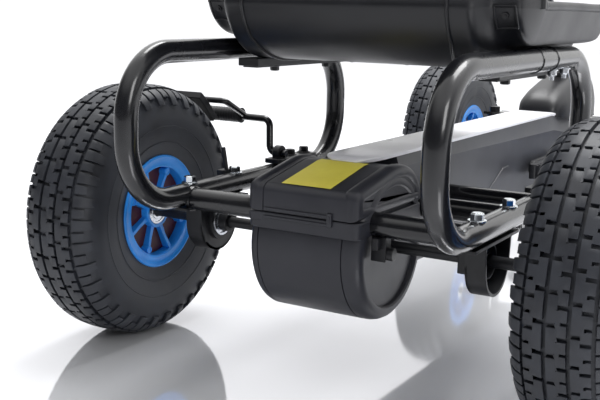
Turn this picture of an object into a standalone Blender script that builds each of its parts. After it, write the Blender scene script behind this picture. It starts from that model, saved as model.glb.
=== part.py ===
"""A child's pedal go kart, as separate pieces on real joints.

Metres. +X is the driver's right, +Y is forward, +Z is up. The origin is on the ground, under the
centre of the kart's box. Most lengths along the kart are given as distances ahead of the rear axle.
"""

import math

import bmesh
import bpy
from mathutils import Matrix, Vector

# Running clearances
GAP = 0.0003
PIN_PLAY = 0.0005

# Overall
LENGTH = 1.21
WHEELBASE = 0.784
REAR_HALF_TRACK = 0.2487
FRONT_HALF_TRACK = 0.208
TUBE_RADIUS = 0.011

# Wheels
TYRE_RADIUS = 0.132
TYRE_WIDTH = 0.085
TYRE_WALL = 0.006
TREAD_WIDTH = 0.066
RIM_SEAT_RADIUS = 0.050
RIM_FLANGE_RADIUS = 0.0595
RIM_HALF_WIDTH = 0.0345
RIM_THICKNESS = 0.003
HUB_RADIUS = 0.018
WEB_THICKNESS = 0.024
WHEEL_STEPS = 20

# Side loops of the rear frame, one centre line each
LOOP_X = 0.1495
LOOP_BACK = 0.1305
LOOP_FRONT = 0.2578
LOOP_LOW = 0.1639
LOOP_HIGH = 0.3033
LOOP_BEND = 0.060
LOOP_JOINT_HIGH = 0.10
LOOP_JOINT_LOW = 0.15
REAR_AXLE_Y = LOOP_BACK + TUBE_RADIUS - LENGTH / 2

# Cross members and main beam
REAR_BAR_BACK = 0.040
REAR_BAR_HEIGHT = 0.160
CROSSBAR_HEIGHT = 0.150
MIDDLE_BAR_AHEAD = 0.112
FRONT_BAR_AHEAD = 0.192
BEAM_WIDTH = 0.026
BEAM_LOW = 0.130
BEAM_HIGH = 0.166
BEAM_WALL = 0.0025
BEAM_BACK = 0.080
BEAM_FRONT = 0.800

# Rear axle, its bearings and hangers
AXLE_RADIUS = 0.0055
AXLE_NUT_RADIUS = 0.010
AXLE_NUT_LENGTH = 0.005
BEARING_RADIUS = 0.014
BEARING_LENGTH = 0.014
HANGER_THICKNESS = 0.005
HANGER_RADIUS = 0.030
HANGER_FLANGE_THICKNESS = 0.004
HANGER_FLANGE_WIDTH = 0.019

# Gear case round the rear axle
CASE_RADIUS = 0.070
CASE_HALF_WIDTH = 0.057
CASE_WALL = 0.003
CASE_SPLIT = 0.165
CASE_BOX_BACK = 0.073
CASE_BOX_LOW = 0.150
LID_TOP = 0.2065
LID_FRONT = 0.0625
CASE_STEPS = 32

# Chain drive
CHAIN_PITCH = 0.0127
REAR_TEETH = 14
CRANK_TEETH = 22
TOOTH_HEIGHT = 0.0025
SPROCKET_THICKNESS = 0.003
CHAIN_X = 0.0205
CHAIN_WIDTH = 0.008
CHAIN_HEIGHT = 0.005
CHAIN_CLEARANCE = 0.0006

# Chain case and its top cover
SPINE_HALF_WIDTH = 0.030
SPINE_WALL = 0.0025
SPINE_LOW = 0.088
SPINE_TOP = 0.2065
SPINE_BEND = 0.57
SPINE_FRONT = 0.675
SPINE_NOSE = 0.1925
COVER_BACK = -0.007
COVER_THICKNESS = 0.0032

# Cranks and pedals
CRANK_AHEAD = 0.56
CRANK_HEIGHT = 0.146
CRANK_LENGTH = 0.10
CRANK_RADIUS = 0.006
CRANK_TURN = math.radians(0)
CRANK_ARM_THICKNESS = 0.008
CRANK_ARM_WIDTH = 0.022
CRANK_CLEARANCE = 0.004
PEDAL_PIN_RADIUS = 0.005
PEDAL_WIDTH = 0.070
PEDAL_LENGTH = 0.064
PEDAL_THICKNESS = 0.020

# Seat and its rails
RAIL_WIDTH = 0.024
RAIL_LOW = 0.287
RAIL_HIGH = 0.295
RAIL_BACK = 0.030
RAIL_FRONT = 0.250
SEAT_WALL = 0.006
SEAT_TUB_HALF_WIDTH = 0.124
SEAT_SHOULDER_HALF_WIDTH = 0.137
SEAT_SIDE_HALF_WIDTH = 0.160
SEAT_HALF_WIDTH = 0.170
SEAT_SHOULDER_RISE = 0.021
SEAT_WING_RISE = 0.056
SEAT_LIP_AHEAD = 0.300
SEAT_LIP_HEIGHT = 0.322
SEAT_BACK_RADIUS = 0.070
SEAT_BACK_AHEAD = -0.018
SEAT_TOP = 0.5865
SEAT_RECLINE = 0.075

# Front axle, kingpins and steering
KINGPIN_X = 0.135
KINGPIN_RADIUS = 0.005
KNUCKLE_RADIUS = 0.011
FORK_LOW = 0.104
FORK_HIGH = 0.184
FORK_THICKNESS = 0.004
FORK_DEPTH = 0.028
STEERING_ARM = 0.050
ARM_HEIGHT = 0.168
ARM_THICKNESS = 0.005
TIE_ROD_RADIUS = 0.004
TIE_ROD_END_X = 0.014
COLUMN_RADIUS = 0.008
COLUMN_FOOT_AHEAD = 0.7737
COLUMN_FOOT_HEIGHT = 0.1814
COLUMN_TILT = math.radians(44)
COLUMN_LENGTH = 0.434
COLLAR_RADIUS = 0.014
COLLAR_FROM = 0.050
COLLAR_TO = 0.130
TOWER_THICKNESS = 0.010
WHEEL_RING_RADIUS = 0.118
WHEEL_RING_TUBE = 0.011
WHEEL_SPOKES = 3

# Front bumper
BUMPER_HEIGHT = 0.150
BUMPER_LEG_X = 0.050
BUMPER_SPREAD_FROM = 0.945
BUMPER_SPREAD_TO = 0.995
BUMPER_HALF_WIDTH = 0.160
BUMPER_BEND = 0.030

# Hand brake on the left loop
BRAKE_PIVOT_AHEAD = 0.130
BRAKE_PIVOT_HEIGHT = 0.185
BRAKE_ROD_RADIUS = 0.004
BRAKE_ROD_X = 0.166
BRAKE_GRIP_RADIUS = 0.0085
BRAKE_GRIP_FROM = 0.205
BRAKE_GRIP_TO = 0.286
BRAKE_GRIP_HEIGHT = 0.223
BRAKE_PAD_GAP = 0.008
BRAKE_PAD_THICKNESS = 0.010
BRAKE_PAD_ANGLE = math.radians(45)

# Clamps and bolts
CLAMP_THICKNESS = 0.005
CLAMP_BACK = 0.114
CLAMP_FRONT = 0.198
BOLT_RADIUS = 0.0065
BOLT_HEIGHT = 0.005
WASHER_RADIUS = 0.0085
WASHER_THICKNESS = 0.0015

SIDES = (("left", -1), ("right", 1))


def ahead(distance):
    """World Y of a point this far ahead of the rear axle."""
    return REAR_AXLE_Y + distance


def collection(name):
    made = bpy.data.collections.new(name)
    bpy.context.scene.collection.children.link(made)
    return made


def material(name, colour, roughness, metallic=0.0):
    made = bpy.data.materials.new(name)
    made.use_nodes = True
    shader = made.node_tree.nodes["Principled BSDF"]
    shader.inputs["Base Color"].default_value = (*colour, 1)
    shader.inputs["Roughness"].default_value = roughness
    shader.inputs["Metallic"].default_value = metallic
    made.diffuse_color = (*colour, 1)
    return made


for old in list(bpy.data.objects):
    bpy.data.objects.remove(old, do_unlink=True)

KART = collection("pedal_go_kart")
CUTTERS = collection("cutters")

BLACK_PAINT = material("black_gloss_paint", (0.010, 0.011, 0.013), 0.22)
BLACK_STEEL = material("black_steel", (0.016, 0.016, 0.018), 0.45)
CASE_PLASTIC = material("satin_black_plastic", (0.022, 0.023, 0.028), 0.42)
SPINE_PLASTIC = material("dark_grey_plastic", (0.033, 0.034, 0.040), 0.50)
WHITE_PLASTIC = material("white_plastic", (0.780, 0.780, 0.820), 0.35)
BLUE_PLASTIC = material("blue_plastic", (0.014, 0.212, 0.651), 0.35)
RUBBER = material("black_rubber", (0.013, 0.014, 0.016), 0.75)
ZINC = material("zinc_plated_steel", (0.600, 0.610, 0.620), 0.28, 1.0)


def add(name, data, finish, location=(0, 0, 0)):
    """Puts a mesh or a curve in the kart's collection as a named piece."""
    obj = bpy.data.objects.new(name, data)
    data.materials.clear()
    data.materials.append(finish)
    obj.location = location
    KART.objects.link(obj)
    return obj


def as_mesh(curve_object):
    """The mesh piece that a curve piece turns into, with its caps welded."""
    bpy.context.view_layer.update()
    evaluated = curve_object.evaluated_get(bpy.context.evaluated_depsgraph_get())
    mesh = bpy.data.meshes.new_from_object(evaluated)
    work = bmesh.new()
    work.from_mesh(mesh)
    bmesh.ops.remove_doubles(work, verts=work.verts, dist=1e-6)
    work.to_mesh(mesh)
    work.free()
    name = curve_object.name
    finish = curve_object.data.materials[0]
    place = curve_object.matrix_world.copy()
    bpy.data.objects.remove(curve_object, do_unlink=True)
    made = add(name, mesh, finish)
    made.matrix_world = place
    return made


def helper(obj):
    """Moves a piece to the cutters, where it no longer counts as part of the kart."""
    KART.objects.unlink(obj)
    CUTTERS.objects.link(obj)
    obj.hide_render = True
    obj.display_type = "WIRE"
    return obj


def boolean(obj, other, operation):
    step = obj.modifiers.new(operation.lower(), "BOOLEAN")
    step.operation = operation
    step.solver = "EXACT"
    step.object = helper(other)
    return obj


def cut(obj, *others):
    for other in others:
        boolean(obj, other, "DIFFERENCE")
    return obj


def join(obj, *others):
    for other in others:
        boolean(obj, other, "UNION")
    return obj


def smooth(obj, angle=40):
    obj.data.shade_smooth()
    obj.data.set_sharp_from_angle(angle=math.radians(angle))
    return obj


def box(name, low, high, finish):
    """A block between two opposite corners."""
    mesh = bpy.data.meshes.new(name)
    size = Vector(high) - Vector(low)
    work = bmesh.new()
    bmesh.ops.create_cube(work, size=1)
    bmesh.ops.scale(work, vec=size, verts=work.verts)
    work.to_mesh(mesh)
    work.free()
    return add(name, mesh, finish, (Vector(low) + Vector(high)) / 2)


def cylinder(name, start, end, radius, finish, steps=16, top_radius=None):
    """A round bar between two points, turned half a step so that a flat faces each way."""
    mesh = bpy.data.meshes.new(name)
    line = Vector(end) - Vector(start)
    work = bmesh.new()
    bmesh.ops.create_cone(
        work,
        cap_ends=True,
        segments=steps,
        radius1=radius,
        radius2=radius if top_radius is None else top_radius,
        depth=line.length,
    )
    bmesh.ops.rotate(work, cent=(0, 0, 0), matrix=Matrix.Rotation(math.pi / steps, 3, "Z"), verts=work.verts)
    work.to_mesh(mesh)
    work.free()
    obj = add(name, mesh, finish, (Vector(start) + Vector(end)) / 2)
    obj.rotation_mode = "QUATERNION"
    obj.rotation_quaternion = line.to_track_quat("Z", "X")
    return smooth(obj)


def turned(name, profile, finish, steps=WHEEL_STEPS, location=(0, 0, 0)):
    """A ring turned about the X axis from a closed profile of (radius, distance along +X)."""
    mesh = bpy.data.meshes.new(name)
    start = math.pi / steps
    work = bmesh.new()
    ring = [work.verts.new((r * math.cos(start), r * math.sin(start), x)) for r, x in profile]
    for first, second in zip(ring, ring[1:] + ring[:1]):
        work.edges.new((first, second))
    work.to_mesh(mesh)
    work.free()
    obj = add(name, mesh, finish, location)
    obj.rotation_euler = (0, math.pi / 2, 0)
    screw = obj.modifiers.new("turn", "SCREW")
    screw.steps = steps
    screw.render_steps = steps
    screw.merge_threshold = 1e-5
    screw.use_merge_vertices = True
    screw.use_smooth_shade = True
    return obj


def rounded(points, radius, steps=4):
    """The points of a path whose corners are arcs of one radius."""
    points = [Vector(p) for p in points]
    path = [points[0]]
    for i in range(1, len(points) - 1):
        corner = points[i]
        back = (points[i - 1] - corner).normalized()
        onward = (points[i + 1] - corner).normalized()
        half = back.angle(onward) / 2
        reach = radius / math.tan(half)
        centre = corner + (back + onward).normalized() * radius / math.sin(half)
        first = corner + back * reach - centre
        last = corner + onward * reach - centre
        for k in range(steps + 1):
            path.append(centre + first.slerp(last, k / steps).normalized() * radius)
    return path + [points[-1]]


def tube(name, path, radius, finish, closed=False, resolution=2):
    """A round tube or rod along a path."""
    curve = bpy.data.curves.new(name, "CURVE")
    curve.dimensions = "3D"
    curve.bevel_depth = radius
    curve.bevel_resolution = resolution
    curve.use_fill_caps = True
    spline = curve.splines.new("POLY")
    spline.points.add(len(path) - 1)
    for point, place in zip(spline.points, path):
        point.co = (*place, 1)
    spline.use_cyclic_u = closed
    return add(name, curve, finish)


def side_plate(name, outline, x, width, finish, holes=()):
    """A flat piece from its side view: (distance ahead of the rear axle, height) round the edge."""
    curve = bpy.data.curves.new(name, "CURVE")
    curve.dimensions = "2D"
    curve.fill_mode = "BOTH"
    curve.extrude = width / 2
    for ring in (outline, *holes):
        spline = curve.splines.new("POLY")
        spline.points.add(len(ring) - 1)
        for point, (y, z) in zip(spline.points, ring):
            point.co = (y, z, 0, 1)
        spline.use_cyclic_u = True
    obj = add(name, curve, finish, (x, REAR_AXLE_Y, 0))
    obj.rotation_euler = (math.pi / 2, 0, math.pi / 2)
    return as_mesh(obj)


def circle(centre, radius, steps=16):
    """A closed ring of side-view points."""
    turns = [2 * math.pi * (k + 0.5) / steps for k in range(steps)]
    return [(centre[0] + radius * math.cos(a), centre[1] + radius * math.sin(a)) for a in turns]


def arc(centre, radius, start, end, steps):
    """Side-view points along an arc, angles in degrees from straight ahead."""
    angles = [math.radians(start + (end - start) * k / steps) for k in range(steps + 1)]
    return [(centre[0] + radius * math.cos(a), centre[1] + radius * math.sin(a)) for a in angles]


def body(name, location):
    """An empty on a joint's axis, which carries the pieces of one moving body."""
    empty = bpy.data.objects.new(name, None)
    empty.location = location
    empty.empty_display_size = 0.03
    KART.objects.link(empty)
    return empty


def carry(empty, *pieces):
    for piece in pieces:
        piece.parent = empty
        piece.location = piece.location - empty.location


def hexagon_bolt(name, place, finish):
    """A hexagon head on its washer, standing on a face that looks up."""
    washer_top = place + Vector((0, 0, WASHER_THICKNESS))
    sunk = washer_top - Vector((0, 0, 0.0005))
    top = washer_top + Vector((0, 0, BOLT_HEIGHT))
    head = cylinder(name, sunk, top, BOLT_RADIUS, finish, 6)
    washer = cylinder("washer", place, washer_top, WASHER_RADIUS, finish, 12)
    return join(head, washer)


def tyre_profile():
    """An open-bottomed tyre section: outer skin from +X to -X, then back along the inside."""
    half = TYRE_WIDTH / 2
    bead = RIM_HALF_WIDTH - RIM_THICKNESS - GAP
    seat = RIM_SEAT_RADIUS + GAP
    outer = [
        (seat, bead),
        (RIM_FLANGE_RADIUS + GAP, bead),
        (0.080, half),
        (0.110, half),
        (TYRE_RADIUS - 0.004, TREAD_WIDTH / 2),
        (TYRE_RADIUS, TREAD_WIDTH / 2 - 0.012),
    ]
    inner = [
        (seat, bead - TYRE_WALL),
        (0.080, half - TYRE_WALL),
        (0.112, half - TYRE_WALL),
        (TYRE_RADIUS - TYRE_WALL, TREAD_WIDTH / 2 - 0.014),
    ]
    mirrored_outer = [(r, -x) for r, x in reversed(outer)]
    mirrored_inner = [(r, -x) for r, x in inner]
    flat_to_ground = 1 / math.cos(math.pi / WHEEL_STEPS)
    section = outer + mirrored_outer + mirrored_inner + list(reversed(inner))
    return [(r * flat_to_ground, x) for r, x in section]


def hub_profile():
    """A spoked plastic wheel as a rim, a web and a long hub, turned in one piece."""
    flange = RIM_HALF_WIDTH - RIM_THICKNESS
    web = WEB_THICKNESS / 2
    inside = RIM_SEAT_RADIUS - RIM_THICKNESS
    half = [
        (RIM_FLANGE_RADIUS, RIM_HALF_WIDTH),
        (RIM_FLANGE_RADIUS, flange),
        (RIM_SEAT_RADIUS, flange),
    ]
    back = [
        (inside, -RIM_HALF_WIDTH),
        (inside, -web),
        (HUB_RADIUS, -web),
        (HUB_RADIUS, -RIM_HALF_WIDTH),
        (AXLE_RADIUS + GAP, -RIM_HALF_WIDTH),
    ]
    mirrored_half = [(r, -x) for r, x in reversed(half)]
    mirrored_back = [(r, -x) for r, x in reversed(back)]
    flat_to_ground = 1 / math.cos(math.pi / WHEEL_STEPS)
    return [(r * flat_to_ground, x) for r, x in half + mirrored_half + back + mirrored_back]


def make_wheel(place, x, y):
    at = (x, y, TYRE_RADIUS)
    tyre = turned(f"tyre_{place}", tyre_profile(), RUBBER, location=at)
    hub = turned(f"hub_{place}", hub_profile(), BLUE_PLASTIC, location=at)
    return tyre, hub


def make_rear_axle():
    """The right wheel and the sprocket are fixed on the axle, and the left wheel turns on it."""
    axle = body("rear_axle_line", (0, REAR_AXLE_Y, TYRE_RADIUS))
    end = REAR_HALF_TRACK + RIM_HALF_WIDTH + GAP + AXLE_NUT_LENGTH
    centre = Vector((0, REAR_AXLE_Y, TYRE_RADIUS))
    across = Vector((1, 0, 0))
    rod = cylinder("rear_axle", centre - across * end, centre + across * end, AXLE_RADIUS, ZINC, WHEEL_STEPS)
    nuts = [
        cylinder(
            f"axle_nut_{side}",
            centre + across * sign * (end - AXLE_NUT_LENGTH),
            centre + across * sign * (end - 0.0008),
            AXLE_NUT_RADIUS,
            ZINC,
            6,
        )
        for side, sign in SIDES
    ]
    join(rod, *nuts)
    tyre, hub = make_wheel("rear_right", REAR_HALF_TRACK, REAR_AXLE_Y)
    sprocket = make_sprocket("rear_sprocket", 0, TYRE_RADIUS, REAR_TEETH, AXLE_RADIUS)
    carry(axle, rod, tyre, hub, sprocket)
    left = body("rear_left_wheel_line", (-REAR_HALF_TRACK, REAR_AXLE_Y, TYRE_RADIUS))
    carry(left, *make_wheel("rear_left", -REAR_HALF_TRACK, REAR_AXLE_Y))


def pitch_radius(teeth):
    return CHAIN_PITCH / (2 * math.sin(math.pi / teeth))


def make_sprocket(name, distance, height, teeth, bore):
    tip = pitch_radius(teeth) + TOOTH_HEIGHT
    root = pitch_radius(teeth) - TOOTH_HEIGHT
    step = 2 * math.pi / teeth
    outline = []
    for k in range(teeth):
        for share, radius in ((-0.38, root), (-0.14, tip), (0.14, tip), (0.38, root)):
            angle = (k + share) * step
            outline.append((distance + radius * math.cos(angle), height + radius * math.sin(angle)))
    hole = circle((distance, height), bore + GAP)
    return side_plate(name, outline, CHAIN_X, SPROCKET_THICKNESS, ZINC, [hole])


def belt_outline(offset):
    """The line that a chain takes round both sprockets, this far outside their pitch circles."""
    rear = pitch_radius(REAR_TEETH) + offset
    front = pitch_radius(CRANK_TEETH) + offset
    rise = math.atan2(CRANK_HEIGHT - TYRE_RADIUS, CRANK_AHEAD)
    span = math.hypot(CRANK_AHEAD, CRANK_HEIGHT - TYRE_RADIUS)
    lean = math.degrees(math.asin((front - rear) / span))
    slope = math.degrees(rise)
    front_arc = arc((CRANK_AHEAD, CRANK_HEIGHT), front, slope - 90 - lean, slope + 90 + lean, 16)
    rear_arc = arc((0, TYRE_RADIUS), rear, slope + 90 + lean, slope + 270 - lean, 12)
    return front_arc + rear_arc


def make_chain():
    inner = belt_outline(TOOTH_HEIGHT + CHAIN_CLEARANCE)
    outer = belt_outline(TOOTH_HEIGHT + CHAIN_CLEARANCE + CHAIN_HEIGHT)
    return side_plate("drive_chain", outer, CHAIN_X, CHAIN_WIDTH, ZINC, [inner])


def make_loops():
    """Each side loop is a rear and a front bent tube, butted together above and below."""
    height = LOOP_HIGH - LOOP_LOW
    for side, sign in SIDES:
        x = sign * LOOP_X
        rear = [
            (x, ahead(LOOP_JOINT_HIGH - GAP / 2), LOOP_HIGH),
            (x, ahead(-LOOP_BACK), LOOP_HIGH),
            (x, ahead(-LOOP_BACK), LOOP_HIGH - height),
            (x, ahead(LOOP_JOINT_LOW - GAP / 2), LOOP_LOW),
        ]
        front = [
            (x, ahead(LOOP_JOINT_HIGH + GAP / 2), LOOP_HIGH),
            (x, ahead(LOOP_FRONT), LOOP_HIGH),
            (x, ahead(LOOP_FRONT), LOOP_LOW),
            (x, ahead(LOOP_JOINT_LOW + GAP / 2), LOOP_LOW),
        ]
        tube(f"loop_rear_{side}", rounded(rear, LOOP_BEND, 5), TUBE_RADIUS, BLACK_PAINT)
        tube(f"loop_front_{side}", rounded(front, LOOP_BEND, 5), TUBE_RADIUS, BLACK_PAINT)


def crossbar(name, distance, height, finish=BLACK_PAINT):
    """A tube between the lower runs of the two side loops, ending just short of them."""
    drop = max(LOOP_LOW - height - TUBE_RADIUS, 0)
    reach = LOOP_X - math.sqrt(TUBE_RADIUS**2 - drop**2) - GAP
    y = ahead(distance)
    return cylinder(name, (-reach, y, height), (reach, y, height), TUBE_RADIUS, finish, 12)


def bar_hole(distance, height, half_width, radius=TUBE_RADIUS, steps=12):
    start = (-half_width, ahead(distance), height)
    end = (half_width, ahead(distance), height)
    return cylinder("bar_hole", start, end, radius + GAP, BLACK_STEEL, steps)


def make_main_beam():
    beam = box(
        "main_beam",
        (-BEAM_WIDTH / 2, ahead(BEAM_BACK), BEAM_LOW),
        (BEAM_WIDTH / 2, ahead(BEAM_FRONT), BEAM_HIGH),
        BLACK_STEEL,
    )
    inside = box(
        "beam_inside",
        (BEAM_WALL - BEAM_WIDTH / 2, ahead(BEAM_BACK) - 0.01, BEAM_LOW + BEAM_WALL),
        (BEAM_WIDTH / 2 - BEAM_WALL, ahead(BEAM_FRONT) + 0.01, BEAM_HIGH - BEAM_WALL),
        BLACK_STEEL,
    )
    bars = [bar_hole(d, CROSSBAR_HEIGHT, BEAM_WIDTH) for d in (MIDDLE_BAR_AHEAD, FRONT_BAR_AHEAD, WHEELBASE)]
    crank = bar_hole(CRANK_AHEAD, CRANK_HEIGHT, BEAM_WIDTH, CRANK_RADIUS, 16)
    return cut(beam, inside, *bars, crank)


def make_axle_supports():
    """A hanger plate under each lower run carries the axle in a ball bearing."""
    top = LOOP_LOW - TUBE_RADIUS - GAP
    for side, sign in SIDES:
        x = sign * LOOP_X
        outline = [(0.050, top), (0.050, 0.140)]
        outline += arc((0, TYRE_RADIUS), HANGER_RADIUS, 10, -190, 10)
        outline += [(-0.055, 0.140), (-0.055, top)]
        bore = circle((0, TYRE_RADIUS), BEARING_RADIUS + GAP, WHEEL_STEPS)
        plate = side_plate(f"axle_hanger_{side}", outline, x, HANGER_THICKNESS, BLACK_STEEL, [bore])
        flange = box(
            f"hanger_flange_{side}",
            (x - HANGER_FLANGE_WIDTH / 2, ahead(-0.058), top - HANGER_FLANGE_THICKNESS),
            (x + HANGER_FLANGE_WIDTH / 2, ahead(0.090), top - 0.00002),
            BLACK_STEEL,
        )
        join(plate, flange)
        half = BEARING_LENGTH / 2
        section = [
            (BEARING_RADIUS, half),
            (BEARING_RADIUS, -half),
            (AXLE_RADIUS + GAP, -half),
            (AXLE_RADIUS + GAP, half),
        ]
        turned(f"axle_bearing_{side}", section, ZINC, location=(x, REAR_AXLE_Y, TYRE_RADIUS))


def lid_outline(inset=0.0):
    """Side view of the lid: it slopes up to the front and then falls round the case."""
    return [
        (inset - CASE_BOX_BACK, CASE_SPLIT + GAP if not inset else CASE_SPLIT - 0.01),
        (LID_FRONT - inset, CASE_SPLIT + GAP if not inset else CASE_SPLIT - 0.01),
        (LID_FRONT - inset, 0.182 - inset / 2),
        (0.050 - inset / 2, 0.196 - inset),
        (0.014, LID_TOP - inset),
        (0.0, LID_TOP - inset),
        (0.004 + inset - CASE_BOX_BACK, 0.193 - inset),
        (inset - CASE_BOX_BACK, 0.187 - inset / 2),
    ]


def chain_window():
    """The way through the front of the gear case and its lid for the two runs of the chain."""
    return box(
        "chain_window",
        (SPINE_WALL - SPINE_HALF_WIDTH, ahead(0.03), SPINE_LOW + SPINE_WALL),
        (SPINE_HALF_WIDTH - SPINE_WALL, ahead(0.09), 0.180),
        CASE_PLASTIC,
    )


def make_gear_case():
    """A drum round the axle with a squared-off back, closed by a lid."""
    low_x, high_x = -CASE_HALF_WIDTH, CASE_HALF_WIDTH
    inner = CASE_HALF_WIDTH - CASE_WALL
    y, z = REAR_AXLE_Y, TYRE_RADIUS
    case = cylinder("gear_case", (low_x, y, z), (high_x, y, z), CASE_RADIUS, CASE_PLASTIC, CASE_STEPS)
    foot = (low_x, ahead(-CASE_BOX_BACK), CASE_BOX_LOW)
    back = box("case_back", foot, (high_x, y, CASE_SPLIT + 0.02), CASE_PLASTIC)
    join(case, back)
    inside_radius = CASE_RADIUS - CASE_WALL
    drum = cylinder("case_inside", (-inner, y, z), (inner, y, z), inside_radius, CASE_PLASTIC, CASE_STEPS)
    well = box(
        "case_well",
        (-inner, ahead(CASE_WALL - CASE_BOX_BACK), CASE_BOX_LOW + CASE_WALL),
        (inner, y, CASE_SPLIT + 0.03),
        CASE_PLASTIC,
    )
    above = box("case_above", (-0.1, ahead(-0.1), CASE_SPLIT), (0.1, ahead(0.1), 0.25), CASE_PLASTIC)
    axle = bar_hole(0, TYRE_RADIUS, 0.1, AXLE_RADIUS + 0.002)
    bar = bar_hole(-REAR_BAR_BACK, REAR_BAR_HEIGHT, 0.1)
    cut(case, drum, well, above, chain_window(), axle, bar)
    lid = side_plate("gear_case_lid", lid_outline(), 0, 2 * CASE_HALF_WIDTH, CASE_PLASTIC)
    hollow = side_plate("lid_inside", lid_outline(CASE_WALL), 0, 2 * inner, CASE_PLASTIC)
    cut(lid, hollow, chain_window(), bar_hole(-REAR_BAR_BACK, REAR_BAR_HEIGHT, 0.1))


def spine_outline(inset=0.0):
    """Side view of the chain case. Its back edge fits the gear case and its lid."""
    if inset:
        back = [(0.0, SPINE_TOP - inset), (0.0, SPINE_LOW + inset)]
    else:
        back = [
            (LID_FRONT + PIN_PLAY, SPINE_TOP),
            (LID_FRONT + PIN_PLAY, CASE_SPLIT),
            (CASE_RADIUS + PIN_PLAY, CASE_SPLIT),
            (CASE_RADIUS + PIN_PLAY, SPINE_LOW),
        ]
    return back + [
        (SPINE_FRONT - 0.02 - inset, SPINE_LOW + inset),
        (SPINE_FRONT - inset, SPINE_LOW + 0.022 + inset / 2),
        (SPINE_FRONT - inset, SPINE_NOSE - inset),
        (SPINE_BEND, SPINE_TOP - inset),
    ]


def make_spine():
    """Two half shells round the chain and the beam, under one long cover."""
    for side, sign in SIDES:
        middle = sign * (SPINE_HALF_WIDTH + GAP / 2) / 2
        half_width = SPINE_HALF_WIDTH - GAP / 2
        half = side_plate(f"chain_case_{side}", spine_outline(), middle, half_width, SPINE_PLASTIC)
        room = side_plate(
            "chain_room", spine_outline(SPINE_WALL), 0, 2 * (SPINE_HALF_WIDTH - SPINE_WALL), SPINE_PLASTIC
        )
        nose = box(
            "beam_exit",
            (-BEAM_WIDTH / 2 - PIN_PLAY, ahead(SPINE_FRONT - 0.02), BEAM_LOW - PIN_PLAY),
            (BEAM_WIDTH / 2 + PIN_PLAY, ahead(SPINE_FRONT + 0.02), BEAM_HIGH + PIN_PLAY),
            SPINE_PLASTIC,
        )
        bars = [bar_hole(d, CROSSBAR_HEIGHT, 0.1) for d in (MIDDLE_BAR_AHEAD, FRONT_BAR_AHEAD)]
        crank = bar_hole(CRANK_AHEAD, CRANK_HEIGHT, 0.1, CRANK_RADIUS + 0.002, 16)
        cut(half, room, nose, *bars, crank)
    top = SPINE_TOP + GAP
    outline = [
        (COVER_BACK, LID_TOP + GAP),
        (SPINE_BEND, top),
        (SPINE_FRONT, SPINE_NOSE + GAP),
        (SPINE_FRONT, SPINE_NOSE + GAP + COVER_THICKNESS),
        (SPINE_BEND, top + COVER_THICKNESS),
        (COVER_BACK, LID_TOP + GAP + COVER_THICKNESS),
    ]
    side_plate("spine_cover", outline, 0, 2 * SPINE_HALF_WIDTH, WHITE_PLASTIC)


def make_cranks():
    """Two arms opposite each other on one shaft, each with a pedal on its pin."""
    shaft_end = SPINE_HALF_WIDTH + CRANK_CLEARANCE
    centre = Vector((0, ahead(CRANK_AHEAD), CRANK_HEIGHT))
    across = Vector((1, 0, 0))
    crank = body("crank_line", centre)
    shaft = cylinder(
        "crank_shaft", centre - across * shaft_end, centre + across * shaft_end, CRANK_RADIUS, ZINC, 16
    )
    sprocket = make_sprocket("crank_sprocket", CRANK_AHEAD, CRANK_HEIGHT, CRANK_TEETH, CRANK_RADIUS)
    carry(crank, shaft, sprocket)
    for side, sign in SIDES:
        turn = CRANK_TURN + (0 if sign < 0 else math.pi)
        along = (math.cos(turn), math.sin(turn))
        tip = (CRANK_AHEAD + CRANK_LENGTH * along[0], CRANK_HEIGHT + CRANK_LENGTH * along[1])
        degrees = math.degrees(turn)
        width = CRANK_ARM_WIDTH / 2
        outline = arc(tip, width, degrees - 90, degrees + 90, 5)
        outline += arc((CRANK_AHEAD, CRANK_HEIGHT), width, degrees + 90, degrees + 270, 5)
        x = sign * (shaft_end + GAP + CRANK_ARM_THICKNESS / 2)
        arm = side_plate(f"crank_arm_{side}", outline, x, CRANK_ARM_THICKNESS, BLACK_STEEL)
        outer_face = shaft_end + GAP + CRANK_ARM_THICKNESS
        pin_end = outer_face + PEDAL_WIDTH + 2 * GAP
        at = Vector((0, ahead(tip[0]), tip[1]))
        pin = cylinder(
            "pedal_pin",
            at + across * sign * (outer_face - 0.003),
            at + across * sign * pin_end,
            PEDAL_PIN_RADIUS,
            ZINC,
            16,
        )
        join(arm, pin)
        carry(crank, arm)
        pivot = body(f"pedal_line_{side}", at)
        near = outer_face + GAP
        xs = sorted((sign * near, sign * (near + PEDAL_WIDTH)))
        pedal = box(
            f"pedal_{side}",
            (xs[0], at.y - PEDAL_LENGTH / 2, at.z - PEDAL_THICKNESS / 2),
            (xs[1], at.y + PEDAL_LENGTH / 2, at.z + PEDAL_THICKNESS / 2),
            CASE_PLASTIC,
        )
        bore = cylinder(
            "pedal_bore",
            at + across * (xs[0] - 0.01),
            at + across * (xs[1] + 0.01),
            PEDAL_PIN_RADIUS + GAP,
            ZINC,
            16,
        )
        cut(pedal, bore)
        carry(pivot, pedal)


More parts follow.
